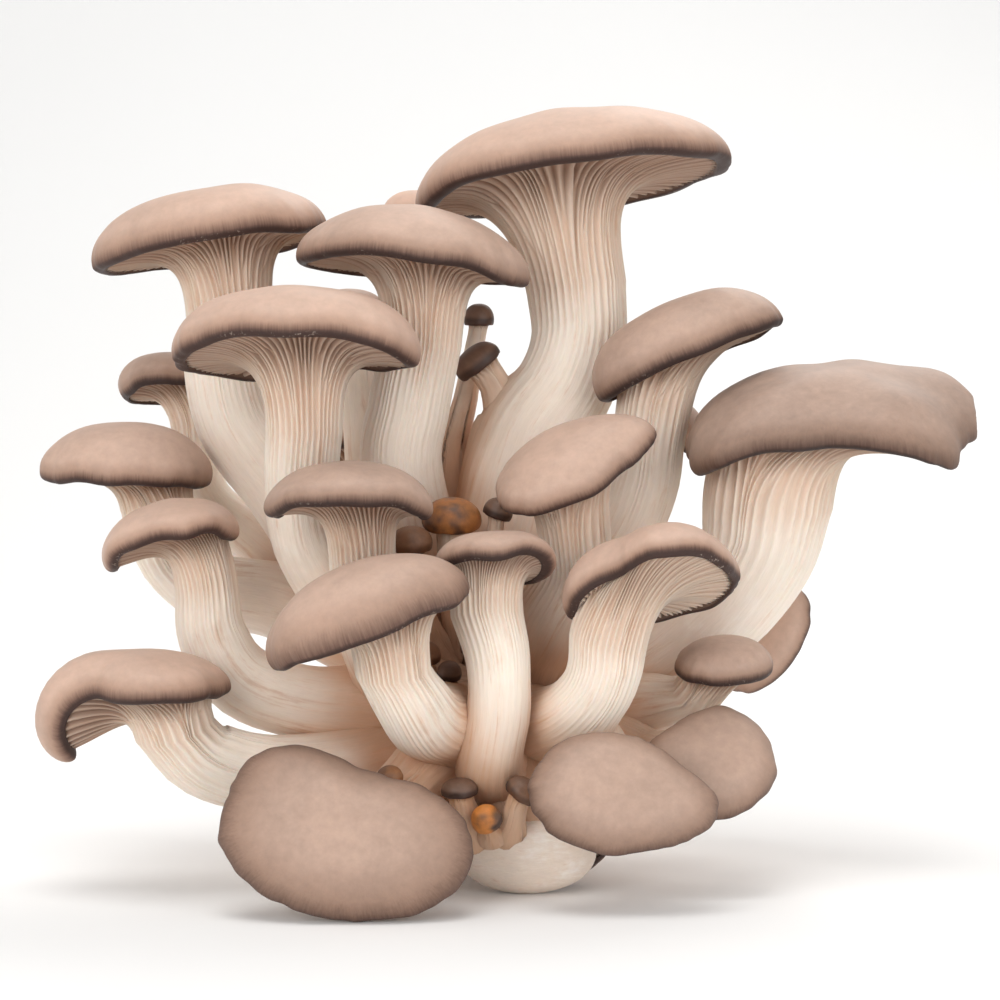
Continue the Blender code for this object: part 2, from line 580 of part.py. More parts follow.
def main():
    clear_scene()
    cluster = bpy.data.collections.new(PART_NAME)
    bpy.context.scene.collection.children.link(cluster)
    cap_brown = make_material("cap_brown", CAP_COLOUR)
    pin_brown = make_material("pin_brown", PIN_COLOUR)
    cream = make_material("cream_flesh", FLESH_COLOUR)

    parts = add_helper_collection("stems")
    helpers = add_helper_collection("cutters")
    for mushroom in MUSHROOMS:
        add_object(mushroom.name, *cap_mesh(mushroom), cluster, cap_brown)
        add_object("stem_of_" + mushroom.name, *flesh_mesh(mushroom), parts, cream)
    for pin in (replace(pin, gills=3, cap_sides=7, stem_sides=5) for pin in PINS):
        add_object(pin.name, *cap_mesh(pin), cluster, pin_brown)
        add_object("stem_of_" + pin.name, *flesh_mesh(pin), parts, cream)
    add_base_lumps(parts, cream)
    cutter = add_ground_cutter(helpers)
    join_flesh(parts, cluster, cutter, cream)
    bpy.data.objects.remove(cutter, do_unlink=True)
    for empty in (parts, helpers):
        bpy.data.collections.remove(empty)


if __name__ == "__main__":
    main()
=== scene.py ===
"""Oyster mushroom cluster, dressed: fine caps, gills, stems and base in place of the plain solids.

Lengths are in millimetres, and MM makes them metres in a mesh. +Z is up, the cluster faces -Y
and stands on the flat cut of its base, at z = 0. The formulas for caps, stems and gills are
those of the solids, read on a finer grid.
"""

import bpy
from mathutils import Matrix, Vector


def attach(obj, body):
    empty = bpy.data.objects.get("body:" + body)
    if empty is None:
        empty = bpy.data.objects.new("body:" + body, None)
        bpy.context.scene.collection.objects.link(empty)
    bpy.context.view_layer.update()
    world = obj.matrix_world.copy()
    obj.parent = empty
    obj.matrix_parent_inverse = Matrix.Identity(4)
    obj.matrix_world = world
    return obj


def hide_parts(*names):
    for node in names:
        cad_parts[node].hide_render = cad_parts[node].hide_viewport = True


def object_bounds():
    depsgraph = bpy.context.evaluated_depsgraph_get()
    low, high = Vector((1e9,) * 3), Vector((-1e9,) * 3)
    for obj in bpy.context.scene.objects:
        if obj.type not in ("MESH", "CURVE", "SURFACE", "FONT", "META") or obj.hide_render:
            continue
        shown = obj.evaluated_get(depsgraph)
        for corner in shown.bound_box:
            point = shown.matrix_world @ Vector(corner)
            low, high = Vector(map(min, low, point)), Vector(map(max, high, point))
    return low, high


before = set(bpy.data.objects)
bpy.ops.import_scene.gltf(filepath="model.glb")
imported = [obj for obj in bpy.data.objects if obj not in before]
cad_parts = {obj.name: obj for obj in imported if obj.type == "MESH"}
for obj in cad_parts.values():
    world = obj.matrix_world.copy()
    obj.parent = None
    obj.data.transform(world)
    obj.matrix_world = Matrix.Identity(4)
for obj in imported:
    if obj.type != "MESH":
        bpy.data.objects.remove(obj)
CAD_BOX = [list(corner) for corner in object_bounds()]

import logging
import math
from dataclasses import dataclass, field
from enum import Enum
from typing import Any, Iterable, Sequence, Union

import bpy
import numpy as np
from numpy.typing import NDArray

log = logging.getLogger("oyster_mushroom_cluster")

Array = NDArray[np.float64]
Faces = NDArray[np.int64]
Triple = tuple[float, float, float]

MM = 0.001
BODY = "root"
TURN = 2 * math.pi

# Room between a cap and its gills: under a flat cap, what a curl of 90 degrees adds, and out of sight
CAP_GAP = 0.95
BEND_GAP = 1.5
HIDDEN_GAP = 1.9

# A cap's section in shares of its radius, the lip's depth in mm and at most as a share of the dome's
# height, the power that rounds the dome, and the half width from which a dark margin is full; that
# margin is partly the cap's darker rim and partly painted shade where the cap turns from the light
LIP_DEPTH = 1.5
LIP_SHARE = 0.90
HOLLOW_SHARE = 0.45
UNDER_SHARES = (0.82, 0.66, 0.45, 0.2)
LIP_LIMIT = 0.32
MARGIN_START = 0.72
DOME_POWER = 0.52
CURL_START = 0.35
FULL_BAND_WIDTH = 26

# Relief of a cap: height of its fine scallops, length of its swells, height of wrinkles and margin waves
SCALLOP = 0.0034
SWELL_LENGTH = 17.0
WRINKLE_HEIGHT = 0.03
MARGIN_WAVE = 0.35

# Gills, from a little inside the rolled lip to where they fade on the stem: strength by the share of
# the way to the neck, and how far the curves between pull towards the margin and up the stem
GILL_START_SHARE = 0.925
GILL_DEPTH = 1.6
GILL_BASE = 0.42
NECK_STRENGTH = 0.55
GILL_STRENGTH = ((0, 0.1, 0.4, 0.75, 1), (0.45, 0.8, 0.95, 0.75, NECK_STRENGTH))
SEAT_SINK = 0.12
FLARE = 1.2
WIDEST_FLARE = 0.62
NECK_PULL = 0.55
FULL_GILL_WIDTH = 24.0
COLUMNS_PER_GILL = 8
COARSE_RATIO = 4
RIDGE_FADE = 11.0
RIDGE_LENGTH = 27.0
FRAME_EASE = 14.0
FIBRE_STRETCH = (1.0, 1.0, 0.07)

# The lower stem: step between its balls, and relief by fibres and swells as shares of its radius
SPINE_STEP = 3.5
FIBRE_RELIEF = 0.018
STEM_SWELL = 0.03
STEM_SWELL_LENGTH = 20.0

# Where stems meet: how softly, how far the warm shade reaches round them, the distance past which a
# neighbour counts no less, the shade's strength, and how far inside a neighbour the seam has faded
SEAM_BLEND = 1.7
CREVICE_REACH = 6.5
FAR = 60.0
CREVICE_GAIN = 0.8
SEAM_DEPTH = 1.6 * SEAM_BLEND
BASE_CREVICE = 0.35
BOX_MARGIN = 0.02

BASE_LUMPS = (
    ((-3.0, 4.0, 42.0), (23.0, 18.0, 16.0)),
    ((-3.0, 9.0, 14.0), (21.0, 17.0, 20.0)),
    ((-14.0, 8.0, 26.0), (13.0, 14.0, 14.0)),
    ((10.0, 9.0, 28.0), (13.0, 14.0, 14.0)),
    ((-2.0, 20.0, 44.0), (17.0, 13.0, 15.0)),
    ((6.3, -39.0, 9.8), (16.6, 8.2, 10.0)),
)
LUMP_ROWS = 26
LUMP_SIDES = 60
LUMP_FIBRE = (0.22, 0.22, 1.0)
LUMP_SWELL = 0.03
LUMP_SWELL_LENGTH = 14.0


@dataclass(frozen=True)
class Fineness:
    """How many rows and columns a mushroom's surfaces get.

    gills: long gills round the stem.
    gill_rows: rows from the cap's margin down to the neck.
    ridge_rows: rows on the stem over which the gills fade.
    stem_step: distance between rows on the smooth part of the stem, in mm.
    cap_sides: columns round the cap.
    top_rows: rows from the cap's crown to its margin.
    lip_rows: rows round the rolled lip.
    """

    gills: int
    gill_rows: int
    ridge_rows: int
    stem_step: float
    cap_sides: int
    top_rows: int
    lip_rows: int


class Detail(Enum):
    """How closely a mushroom is seen."""

    LARGE = Fineness(44, 26, 12, 3.0, 208, 26, 9)
    MEDIUM = Fineness(38, 22, 10, 3.0, 184, 22, 8)
    FACING = Fineness(30, 18, 7, 3.4, 208, 28, 8)
    SMALL = Fineness(28, 16, 7, 3.6, 128, 18, 7)
    HIDDEN = Fineness(24, 12, 5, 5.0, 80, 12, 6)
    PIN = Fineness(12, 8, 3, 3.0, 48, 10, 5)


@dataclass
class Surface:
    """Points with the faces between them and the values that the finishes read.

    points: (n, 3) in mm.
    faces: arrays of (m, 3) or (m, 4) point numbers.
    values: name to (n,) numbers or (n, 3) vectors.
    """

    points: Array
    faces: list[Faces]
    values: dict[str, Array] = field(default_factory=dict)


def joined(surfaces: Iterable[Surface]) -> Surface:
    """Several surfaces in one, each closed by itself.

    Args:
        surfaces: the parts, which hold the same values.

    Returns:
        Their points one after another, with the point numbers of their faces moved along.
    """
    parts = list(surfaces)
    shifts = np.cumsum([0] + [len(part.points) for part in parts[:-1]])
    return Surface(
        np.vstack([part.points for part in parts]),
        [faces + shift for part, shift in zip(parts, shifts) for faces in part.faces],
        {name: np.concatenate([part.values[name] for part in parts]) for name in parts[0].values})


def ring_quads(first: int, rows: int, sides: int) -> Faces:
    """Quads between neighbouring rings, each ring closed on itself.

    Args:
        first: number of the first ring's first point.
        rows: how many rings follow each other.
        sides: points in a ring.

    Returns:
        Columns c and c + 1 of each row with the same columns of the row below.
    """
    column = np.arange(sides)
    row = first + np.arange(rows - 1)[:, None] * sides
    start, beside = row + column, row + (column + 1) % sides
    return np.stack([start, start + sides, beside + sides, beside], axis=-1).reshape(-1, 4)


def ring_fan(pole: int, first: int, sides: int) -> Faces:
    """Triangles from one point to a ring, facing outwards whether the pole comes before or after.

    Args:
        pole: number of the single point.
        first: number of the ring's first point.
        sides: points in the ring.

    Returns:
        One triangle for each side of the ring.
    """
    column = np.arange(sides)
    here, beside = first + column, first + (column + 1) % sides
    order = (beside, here) if pole > first else (here, beside)
    return np.stack([np.full(sides, pole), *order], axis=-1)


def closed_rings(rows: int, sides: int) -> list[Faces]:
    """Faces of a closed surface: point 0, rings of points, and a last point.

    Args:
        rows: how many rings there are.
        sides: points in a ring.

    Returns:
        A fan, the quads between the rings, and another fan.
    """
    last = 1 + rows * sides
    return [ring_fan(0, 1, sides), ring_quads(1, rows, sides), ring_fan(last, last - sides, sides)]


def ring_step(first: int, sides: int, second: int, ratio: int) -> Faces:
    """Triangles from a fine ring to one with fewer points.

    Args:
        first: number of the fine ring's first point.
        sides: points in the fine ring.
        second: number of the coarse ring's first point.
        ratio: fine points for each coarse point.

    Returns:
        One triangle for each side of both rings.
    """
    coarse = sides // ratio
    column = np.arange(sides)
    nearest = ((column + ratio // 2) // ratio) % coarse
    down = np.stack([first + column, second + nearest, first + (column + 1) % sides], axis=-1)
    wide = np.arange(coarse)
    apex = (ratio * (wide + 1) - ratio // 2) % sides
    up = np.stack([first + apex, second + wide, second + (wide + 1) % coarse], axis=-1)
    return np.vstack([down, up])


def even_angles(sides: int) -> Array:
    """Angles at equal steps round a circle."""
    return np.arange(sides) * (TURN / sides)


def vectors(*parts: Any) -> Array:
    """Vectors from their coordinates, which are stretched to one shape."""
    return np.stack(np.broadcast_arrays(*parts), axis=-1)


def spokes(angle: Array, right: Array, back: Array) -> Array:
    """Directions across a stem, at angles from its right towards its back."""
    return np.cos(angle)[:, None] * right + np.sin(angle)[:, None] * back


def tilted(degrees: float, first: int, second: int) -> Array:
    """The three axes as rows, two of them turned in their own plane.

    Args:
        degrees: how far they turn.
        first: number of the axis that turns towards the other.
        second: number of the other.

    Returns:
        A 3 by 3 array.
    """
    rows = np.eye(3)
    rows[first, first] = rows[second, second] = math.cos(math.radians(degrees))
    rows[first, second] = math.sin(math.radians(degrees))
    rows[second, first] = -rows[first, second]
    return rows


def smooth_step(value: Array, low: float, high: float) -> Array:
    """0 below low, 1 above high and an S-curve between them."""
    share = np.clip((value - low) / (high - low), 0.0, 1.0)
    return share * share * (3 - 2 * share)


def smooth_round(values: Sequence[float], angle: Array) -> Array:
    """The smooth periodic curve through values at equal steps of a circle.

    Args:
        values: the numbers it goes through, from angle 0 anticlockwise.
        angle: where it is read, in radians.

    Returns:
        The sum of the values' own waves round the circle, cosine and sine, at each angle.
    """
    waves = np.fft.rfft(values) / len(values)
    number = np.arange(1, len(waves))
    share = np.where(2 * number == len(values), 1.0, 2.0)
    turned = angle[..., None] * number
    wave = waves[1:].real * np.cos(turned) - waves[1:].imag * np.sin(turned)
    return waves[0].real + (share * wave).sum(-1)


def ripple(random: np.random.Generator, angle: Array, cycles: Iterable[int]) -> Array:
    """A wave round a circle that lies about within -1 to 1.

    Args:
        random: where the waves' phases and sizes come from.
        angle: where it is read, in radians.
        cycles: whole numbers of waves round the circle, added together.

    Returns:
        The sum of one sine for each number of cycles, over the root of how many there are.
    """
    number = np.array(list(cycles))
    phase = random.uniform(0, TURN, len(number))
    size = random.uniform(0.6, 1.4, len(number)) / math.sqrt(len(number))
    return (size * np.sin(angle[..., None] * number + phase)).sum(-1)


def swell(random: np.random.Generator, where: Array, length: float) -> Array:
    """A smooth lumpy field in space that lies about within -1 to 1.

    Args:
        random: where the waves' directions and phases come from.
        where: (..., 3) or (..., 2) positions.
        length: about the distance between two lumps.

    Returns:
        The mean of seven sines along random directions, each of its own wavelength, times 1.6.
    """
    count = 7
    direction = random.normal(size=(count, where.shape[-1]))
    direction /= np.linalg.norm(direction, axis=1, keepdims=True)
    waves = direction * (TURN / (length * random.uniform(0.75, 1.5, (count, 1))))
    phase = random.uniform(0, TURN, count)
    return np.sin(where @ waves.T + phase).mean(-1) * 1.6


@dataclass
class Spine:
    """Balls along a stem, by which other surfaces know how near they are to it."""

    centres: Array
    radii: Array

    def distance(self, points: Array) -> Array:
        """How far points are from the nearest ball's surface.

        Args:
            points: (n, 3) in mm.

        Returns:
            (n,) in mm, negative inside.
        """
        square = (points**2).sum(1)[:, None] + (self.centres**2).sum(1)
        square = square - 2 * points @ self.centres.T
        return (np.sqrt(np.maximum(square, 0.0)) - self.radii).min(axis=1)


@dataclass
class Lump:
    """One ball of the base, with its own half sizes."""

    centre: Triple
    half: Triple

    def distance(self, points: Array) -> Array:
        """About how far each point is from the ball's surface, negative inside, in mm."""
        scaled = (points - np.array(self.centre)) / np.array(self.half)
        return (np.linalg.norm(scaled, axis=1) - 1) * min(self.half)

    def surface(self, seed: int) -> Surface:
        """The ball on a grid of height angle by turn, with low swells.

        Args:
            seed: for its swells.

        Returns:
            A closed surface: centre + half * unit vector, times one plus a small swell in space.
        """
        random = np.random.default_rng(seed)
        tilt = np.linspace(0, math.pi, LUMP_ROWS + 2)[1:-1, None]
        turn = even_angles(LUMP_SIDES)
        unit = vectors(np.sin(tilt) * np.cos(turn), np.sin(tilt) * np.sin(turn), np.cos(tilt))
        unit = np.vstack([[0, 0, 1], unit.reshape(-1, 3), [0, 0, -1]])
        points = np.array(self.centre) + np.array(self.half) * unit
        lift = LUMP_SWELL * np.array(self.half) * unit
        points = points + lift * swell(random, points, LUMP_SWELL_LENGTH)[:, None]
        count = len(points)
        return Surface(points, closed_rings(LUMP_ROWS, LUMP_SIDES), {
            "furrow_shade": np.zeros(count), "down": np.ones(count), "outward": unit, "movable": np.ones(count),
            "comb": np.zeros((count, 3)), "fibre": points * np.array(LUMP_FIBRE)})


@dataclass(frozen=True)
class Mushroom:
    """One fruiting body: its cap, and the stem that carries it.

    centre: the middle of the cap's margin.
    size: half of the cap's width, half of its depth, and the height of its dome.
    turn: roll (right side up), pitch (top towards the front) and spin, in degrees.
    stem: (x, y, z, radius) from the neck under the cap down into the base.
    curl: how many degrees the left and the right end bend down.
    droop: how far the front and the back bend down, in mm.
    twist: how many degrees more the right end is pitched than the middle.
    outline: the margin's radius as a share of the ellipse, at equal steps from the right, anticlockwise.
    seat: where the stem meets the cap, as shares of the half width and half depth.
    flare: how wide the gills spread at the neck to the left and to the right, in neck radii.
    detail: how closely it is seen.
    tone: from -1, a dark cap, to 1, a pale one.
    glow: how much painted orange light, shining through a pin from behind, its skin gets, 0 to 1.
    waves: height of the swells on the cap's top, in mm.
    shoulder: how square the dome is, the power of the share of its radius.
    open_gills: how pale its hollow is, 0 in a closed shaded one, to 1.
    margin: how far up its top the dark margin reaches, in mm, a darker rim that is partly painted shade where
    the cap turns from the light.
    """

    name: str
    centre: Triple
    size: Triple
    turn: Triple
    stem: tuple[tuple[float, float, float, float], ...]
    curl: tuple[float, float] = (0.0, 0.0)
    droop: tuple[float, float] = (0.0, 0.0)
    twist: float = 0.0
    outline: tuple[float, ...] = (1.0,)
    seat: tuple[float, float] = (0.0, 0.0)
    flare: tuple[float, float] = (FLARE, FLARE)
    detail: Detail = Detail.MEDIUM
    tone: float = 0.0
    glow: float = 0.0
    waves: float = 0.3
    shoulder: float = 2.5
    open_gills: float = 0.0
    margin: float = 6.0

    @property
    def fineness(self) -> Fineness:
        """The numbers of rows and columns that its detail stands for."""
        return self.detail.value

    @property
    def gill_scale(self) -> float:
        """How deep and long its gills are, 1 under a large cap and less under a small one."""
        return min(1.0, self.size[0] / FULL_GILL_WIDTH)

    def random(self, purpose: int) -> np.random.Generator:
        """A seeded source of chance for one purpose, the same each time."""
        return np.random.default_rng([sum(map(ord, self.name)), len(self.name), purpose])

    def axes(self) -> Array:
        """The cap's right, back and up directions as the rows of a 3 by 3 array."""
        roll, pitch, spin = self.turn
        return tilted(spin, 0, 1) @ tilted(pitch, 1, 2) @ tilted(roll, 0, 2)

    def place(self, across: Any, back: Any, height: Any) -> Array:
        """Points of the cap in space, after its ends are bent.

        The front and back droop by a square law and the right end twists. Past CURL_START the left
        and right ends follow an arc, so they bend down at their own thickness.

        Args:
            across: share of the half width, to the right.
            back: share of the half depth, to the back.
            height: above the margin's plane, in mm.

        Returns:
            Positions in mm, with one more axis than the arguments.
        """
        half_width, half_depth, _ = self.size
        front, behind = self.droop
        height = height - np.where(back < 0, front, behind) * back**2
        twist = math.tan(math.radians(self.twist)) * half_depth
        height = height + twist * back * np.maximum(across, 0) ** 2
        start = CURL_START * half_width
        reach = half_width - start
        past = np.maximum(np.abs(across) * half_width - start, 0.0)
        curl = np.radians(np.where(across < 0, *self.curl)) + 1e-6
        turned = curl * past / reach
        flat = np.minimum(np.abs(across) * half_width, start)
        sideways = flat + reach / curl * np.sin(turned) + height * np.sin(turned)
        height = height * np.cos(turned) - reach / curl * (1 - np.cos(turned))
        local = vectors(np.sign(across) * sideways, back * half_depth, height)
        return np.array(self.centre) + local @ self.axes()

    def place_middle(self, height: float) -> Array:
        """A point on the cap's own axis, as a row."""
        middle = np.zeros(1)
        return self.place(middle, middle, middle + height)

    def dome_height(self, share: Array) -> Array:
        """Height of the cap's top at a share of its radius: a flat-topped dome, steep at the margin."""
        return self.size[2] * (1 - np.minimum(share, 1.0) ** self.shoulder) ** DOME_POWER

    def lip_depth(self) -> float:
        """How far the rolled margin hangs down, in mm."""
        return min(LIP_DEPTH, LIP_LIMIT * self.size[2])

    def under_height(self, share: Any) -> Any:
        """Height of the cap's underside, a shallow bowl that opens downwards inside the lip."""
        return HOLLOW_SHARE * self.size[2] * (1 - (share / LIP_SHARE) ** 2) - 0.6 * self.lip_depth()

    def cap_profile(self) -> tuple[Array, Array, Array]:
        """The cap's section from its crown, over the margin and lip, to the middle of its underside.

        The top follows the dome at shares that crowd at the margin, the lip is half of an ellipse
        from the margin to its inner edge, and the underside follows its bowl.

        Returns:
            Shares of the radius, heights in mm, and a path number: 0 on the crown, up to 1 across
            the dark margin (the cap's darker rim and painted shade), 1 to 2 round the lip, and 2 to 3
            underneath.
        """
        half_width, _, dome = self.size
        top = np.sin(np.linspace(0, math.pi / 2, self.fineness.top_rows + 1)[1:])
        turn = np.linspace(0, math.pi, self.fineness.lip_rows + 1)[1:]
        lip = self.lip_depth()
        under = np.array(UNDER_SHARES)
        share = np.concatenate([top, (1 + LIP_SHARE) / 2 + (1 - LIP_SHARE) / 2 * np.cos(turn), under])
        lip_height = -0.3 * lip * (1 - np.cos(turn)) - 0.75 * lip * np.sin(turn)
        height = np.concatenate([self.dome_height(top), lip_height, self.under_height(under)])
        section = np.hypot(np.diff(top * half_width, prepend=0.0),
                           np.diff(self.dome_height(top), prepend=dome)).cumsum()
        # How far up the top the dark margin reaches: the cap's darker rim and painted shade on its sides
        band = self.margin * min(1.0, half_width / FULL_BAND_WIDTH) ** 0.7
        crown = np.maximum(1 - (section[-1] - section) / band, 0.0)
        return share, height, np.concatenate([crown, 1 + turn / math.pi, 3 - under])

    def cap_surface(self) -> Surface:
        """The brown cap, closed: rows of its section by columns round it.

        A point is the section's share and height, turned by the column's angle and scaled by the
        outline. The margin is scalloped by waves round the circle, and the top has low swells and
        faint radial wrinkles that die out towards the crown.

        Returns:
            The surface with path, tone, glow and radial, positions that are stretched along the radius.
        """
        random = self.random(1)
        sides = self.fineness.cap_sides
        half_width, half_depth, dome = self.size
        angle = even_angles(sides)
        share, height, path = (values[:, None] for values in self.cap_profile())
        near = smooth_step(share, MARGIN_START, 1.0)
        fine = max(sides // 5, 8)
        scallop = SCALLOP * ripple(random, angle, range(fine // 2, fine, 3))
        scallop = scallop + (0.005 + 0.011 * self.waves) * ripple(random, angle, range(6, 19))
        radius = share * smooth_round(self.outline, angle) * (1 + near * scallop)
        across, back = radius * np.cos(angle), radius * np.sin(angle)
        scale = min(1.0, half_width / 20)
        top = (path <= 1) * (1 - 0.6 * near)
        where = vectors(across * half_width, back * half_depth)
        lift = scale * self.waves * top * swell(random, where, SWELL_LENGTH)
        wrinkles = WRINKLE_HEIGHT * scale * smooth_step(share, 0.55, 0.9)
        lift = lift + wrinkles * ripple(random, angle, range(fine // 3, fine, 2)) * (path <= 1)
        lift = lift + MARGIN_WAVE * scale * near * ripple(random, angle, range(4, 10))
        points = np.vstack([
            self.place_middle(dome + lift[0].mean()),
            self.place(across, back, height + lift).reshape(-1, 3),
            self.place_middle(self.under_height(0.0))])
        count, rows = len(points), len(path)
        grain = vectors(np.cos(angle) * half_width, np.sin(angle) * half_depth, 0.0)
        grain = grain * np.minimum(share + 0.15, 1.15)[..., None] ** 0.25
        grain = grain + share[..., None] * np.array([0, 0, 6.0])
        return Surface(points, closed_rings(rows, sides), {
            "path": np.concatenate([[0.0], np.repeat(path.ravel(), sides), [3.0]]),
            "tone": np.full(count, self.tone), "glow": np.full(count, self.glow),
            "radial": np.vstack([[[0, 0, 0]], grain.reshape(-1, 3), [[0, 0, 9.0]]])})

    def curve(self, steps: Array) -> Array:
        """Points and radii of the stem's axis.

        A Catmull-Rom curve through the stem's own points, which ends straight at both ends.

        Args:
            steps: where to read it, from 0 at the neck, with 1 for each of the stem's own points.

        Returns:
            (n, 4) rows of x, y, z and radius.
        """
        knots = np.array(self.stem, float)
        knots = np.vstack([2 * knots[0] - knots[1], knots, 2 * knots[-1] - knots[-2]])
        stretch = np.minimum(steps.astype(int), len(self.stem) - 2)
        part = (steps - stretch)[:, None]
        before, start, end, after = (knots[stretch + k] for k in range(4))
        bend = 2 * before - 5 * start + 4 * end - after
        return 0.5 * (2 * start + (end - before) * part + bend * part**2
                      + (3 * start - before - 3 * end + after) * part**3)

    def stem_rows(self) -> tuple[Array, Array]:
        """Rows down the stem, near together where gills fade on it and wider below.

        Returns:
            (n, 4) rows of x, y, z and radius, and each row's distance from the neck.
        """
        dense = self.curve(np.linspace(0, len(self.stem) - 1, 40 * len(self.stem)))
        length = np.concatenate([[0], np.cumsum(np.linalg.norm(np.diff(dense[:, :3], axis=0), axis=1))])
        ridge = min(RIDGE_LENGTH * self.gill_scale, 0.6 * length[-1])
        upper = np.linspace(0, ridge, self.fineness.ridge_rows + 1)
        rest = max(int((length[-1] - ridge) / self.fineness.stem_step), 2)
        where = np.concatenate([upper, np.linspace(ridge, length[-1], rest + 1)[1:]])
        return vectors(*(np.interp(where, length, column) for column in dense.T)), where

    def spine(self) -> Spine:
        """The balls by which other surfaces know this stem, one for about every SPINE_STEP mm.

        Returns:
            Balls with the stem's own radii at equal steps along it.
        """
        rows, where = self.stem_rows()
        even = np.linspace(0, where[-1], max(int(where[-1] / SPINE_STEP), 3))
        ball = vectors(*(np.interp(even, where, column) for column in rows.T))
        return Spine(ball[:, :3], ball[:, 3])

    def seat_point(self) -> Array:
        """Where the stem's axis would meet the cap: under its underside by the gap and a little sink.

        Returns:
            One point in mm.
        """
        seat = np.array(self.seat)
        gap = CAP_GAP + BEND_GAP * max(self.curl) / 90
        height = self.under_height(float(np.hypot(*seat))) - gap - SEAT_SINK * self.size[2]
        return self.place(seat[:1], seat[1:], np.array([height]))[0]

    def stem_frames(self, rows: Array, where: Array, seat: Array) -> tuple[Array, Array, Array]:
        """Directions across the stem at each row, turned as little as possible from row to row.

        At the neck the stem faces its seat, and it turns to its own course over FRAME_EASE mm, so
        that rows don't cross on the inside of a bend.

        Args:
            rows: the stem's rows, from the neck down.
            where: each row's distance from the neck.
            seat: the point of the cap that the neck leads to.

        Returns:
            (n, 3) directions to the right, to the back and up the stem.
        """
        upward = -np.gradient(rows[:, :3], axis=0)
        upward /= np.linalg.norm(upward, axis=1, keepdims=True)
        first = seat - self.curve(np.array([0.5]))[0, :3]
        first /= np.linalg.norm(first)
        upward = first + smooth_step(where, 0.0, FRAME_EASE)[:, None] * (upward - first)
        upward /= np.linalg.norm(upward, axis=1, keepdims=True)
        right = self.axes()[0]
        carried = []
        for direction in upward:
            right = right - direction * (right @ direction)
            right = right / np.linalg.norm(right)
            carried.append(right)
        across = np.array(carried)
        return across, np.cross(upward, across), upward

    def gill_lines(self, angle: Array) -> tuple[Array, Array]:
        """Angles of each column, which wander by waves round the circle so that gills aren't even.

        Args:
            angle: the even angles of the columns.

        Returns:
            Their angles at the margin and at the neck.
        """
        random = self.random(2)
        step = TURN / self.fineness.gills
        return (angle + 0.4 * step * ripple(random, angle, range(3, 11)),
                angle + 0.5 * step * ripple(random, angle, range(2, 9)))

    def flesh_surface(self) -> Surface:
        """The gills and stem in one closed surface.

        From the margin to the neck each column is a cubic curve that leaves the cap flat and joins the
        stem, and from there it runs down the stem's rows. Blades are lobes of a cosine of the column
        number: long gills at every eighth column, short ones between them that end part of the way.
        Their height grows from the margin, is largest under the middle of the cap, and dies out down
        the stem, each gill at its own rate. Below that the surface has fewer columns and fine fibres.

        Returns:
            The surface with furrow, down (from -1 at the margin, over 0 at the neck, to 1), comb (the
            column number as cosine and sine, and how shaded it is), fibre (positions along the flesh),
            outward, and movable, which is 1 on the stem.
        """
        fine = self.fineness
        sides = fine.gills * COLUMNS_PER_GILL
        angle = even_angles(sides)
        at_margin, at_neck = self.gill_lines(angle)
        rows, where = self.stem_rows()
        seat = self.seat_point()
        right, back, upward = self.stem_frames(rows, where, seat)
        random = self.random(3)

        def each_gill(low: float, high: float) -> Array:
            """A chance number for each gill, repeated over its columns."""
            return np.repeat(random.uniform(low, high, fine.gills), COLUMNS_PER_GILL)

        # The blades across the columns
        column_turn = TURN * np.arange(sides) / COLUMNS_PER_GILL
        lobe = np.cos(column_turn)
        size = each_gill(0.6, 1.1)
        long_blade = size * np.maximum(lobe, 0) ** 1.2
        rounded = size * (0.5 + 0.5 * lobe) ** 1.3
        short_end = np.roll(each_gill(0.3, 0.85), 1)
        short_blade = np.maximum(-lobe, 0) ** 1.5
        fade = each_gill(0.55, 1.5)

        # From the margin to the neck
        radius = smooth_round(self.outline, at_margin) * GILL_START_SHARE
        floor = np.full(sides, -0.55 * self.lip_depth())
        margin = self.place(radius * np.cos(at_margin), radius * np.sin(at_margin), floor)
        width = rows[0, 3]
        neck = rows[0, :3] + width * spokes(at_neck, right[0], back[0])
        away = margin - seat
        flare = width * np.where(np.cos(at_margin) < 0, *self.flare)
        inner = seat + away * np.minimum(flare / np.linalg.norm(away, axis=1), WIDEST_FLARE)[:, None]
        reach = float(np.linalg.norm(seat - rows[0, :3]))
        outer = neck + NECK_PULL * reach * upward[0]
        steps = np.linspace(0, 1, fine.gill_rows)
        t = steps[:, None, None]
        under = (1 - t) ** 3 * margin + 3 * t * (1 - t) ** 2 * inner
        under = under + 3 * t**2 * (1 - t) * outer + t**3 * neck
        sideways = np.roll(under, -1, axis=1) - np.roll(under, 1, axis=1)
        normal = np.cross(np.gradient(under, axis=0), sideways)
        normal /= np.linalg.norm(normal, axis=2, keepdims=True)

        # Down the stem while the gills fade
        ridges = slice(1, fine.ridge_rows + 1)
        ribs = spokes(at_neck, right[ridges, None], back[ridges, None])
        grid = np.concatenate([under, rows[ridges, None, :3] + rows[ridges, None, 3:] * ribs])
        outward = np.concatenate([normal, ribs])
        rise = np.interp(steps, *GILL_STRENGTH)[:, None]
        along = where[ridges, None] / (RIDGE_FADE * self.gill_scale * fade)
        strength = np.concatenate([rise + 0 * fade, NECK_STRENGTH * np.exp(-along)])
        short = 1 - smooth_step(steps[:, None] - short_end, -0.08, 0.08)
        short = np.concatenate([short, 0 * along])
        ease = np.concatenate([smooth_step(steps, 0.35, 0.95), np.ones(fine.ridge_rows)])[:, None]
        blade = long_blade + ease * (rounded - long_blade) + short * short_blade
        grid = grid + (GILL_DEPTH * self.gill_scale * strength * (blade - GILL_BASE))[..., None] * outward
        # Painted shade in the grooves between the blades, as strong as the gills stand deep
        furrow_shade = (1 - np.clip(blade, 0, 1)) * np.clip(strength / NECK_STRENGTH, 0, 1)

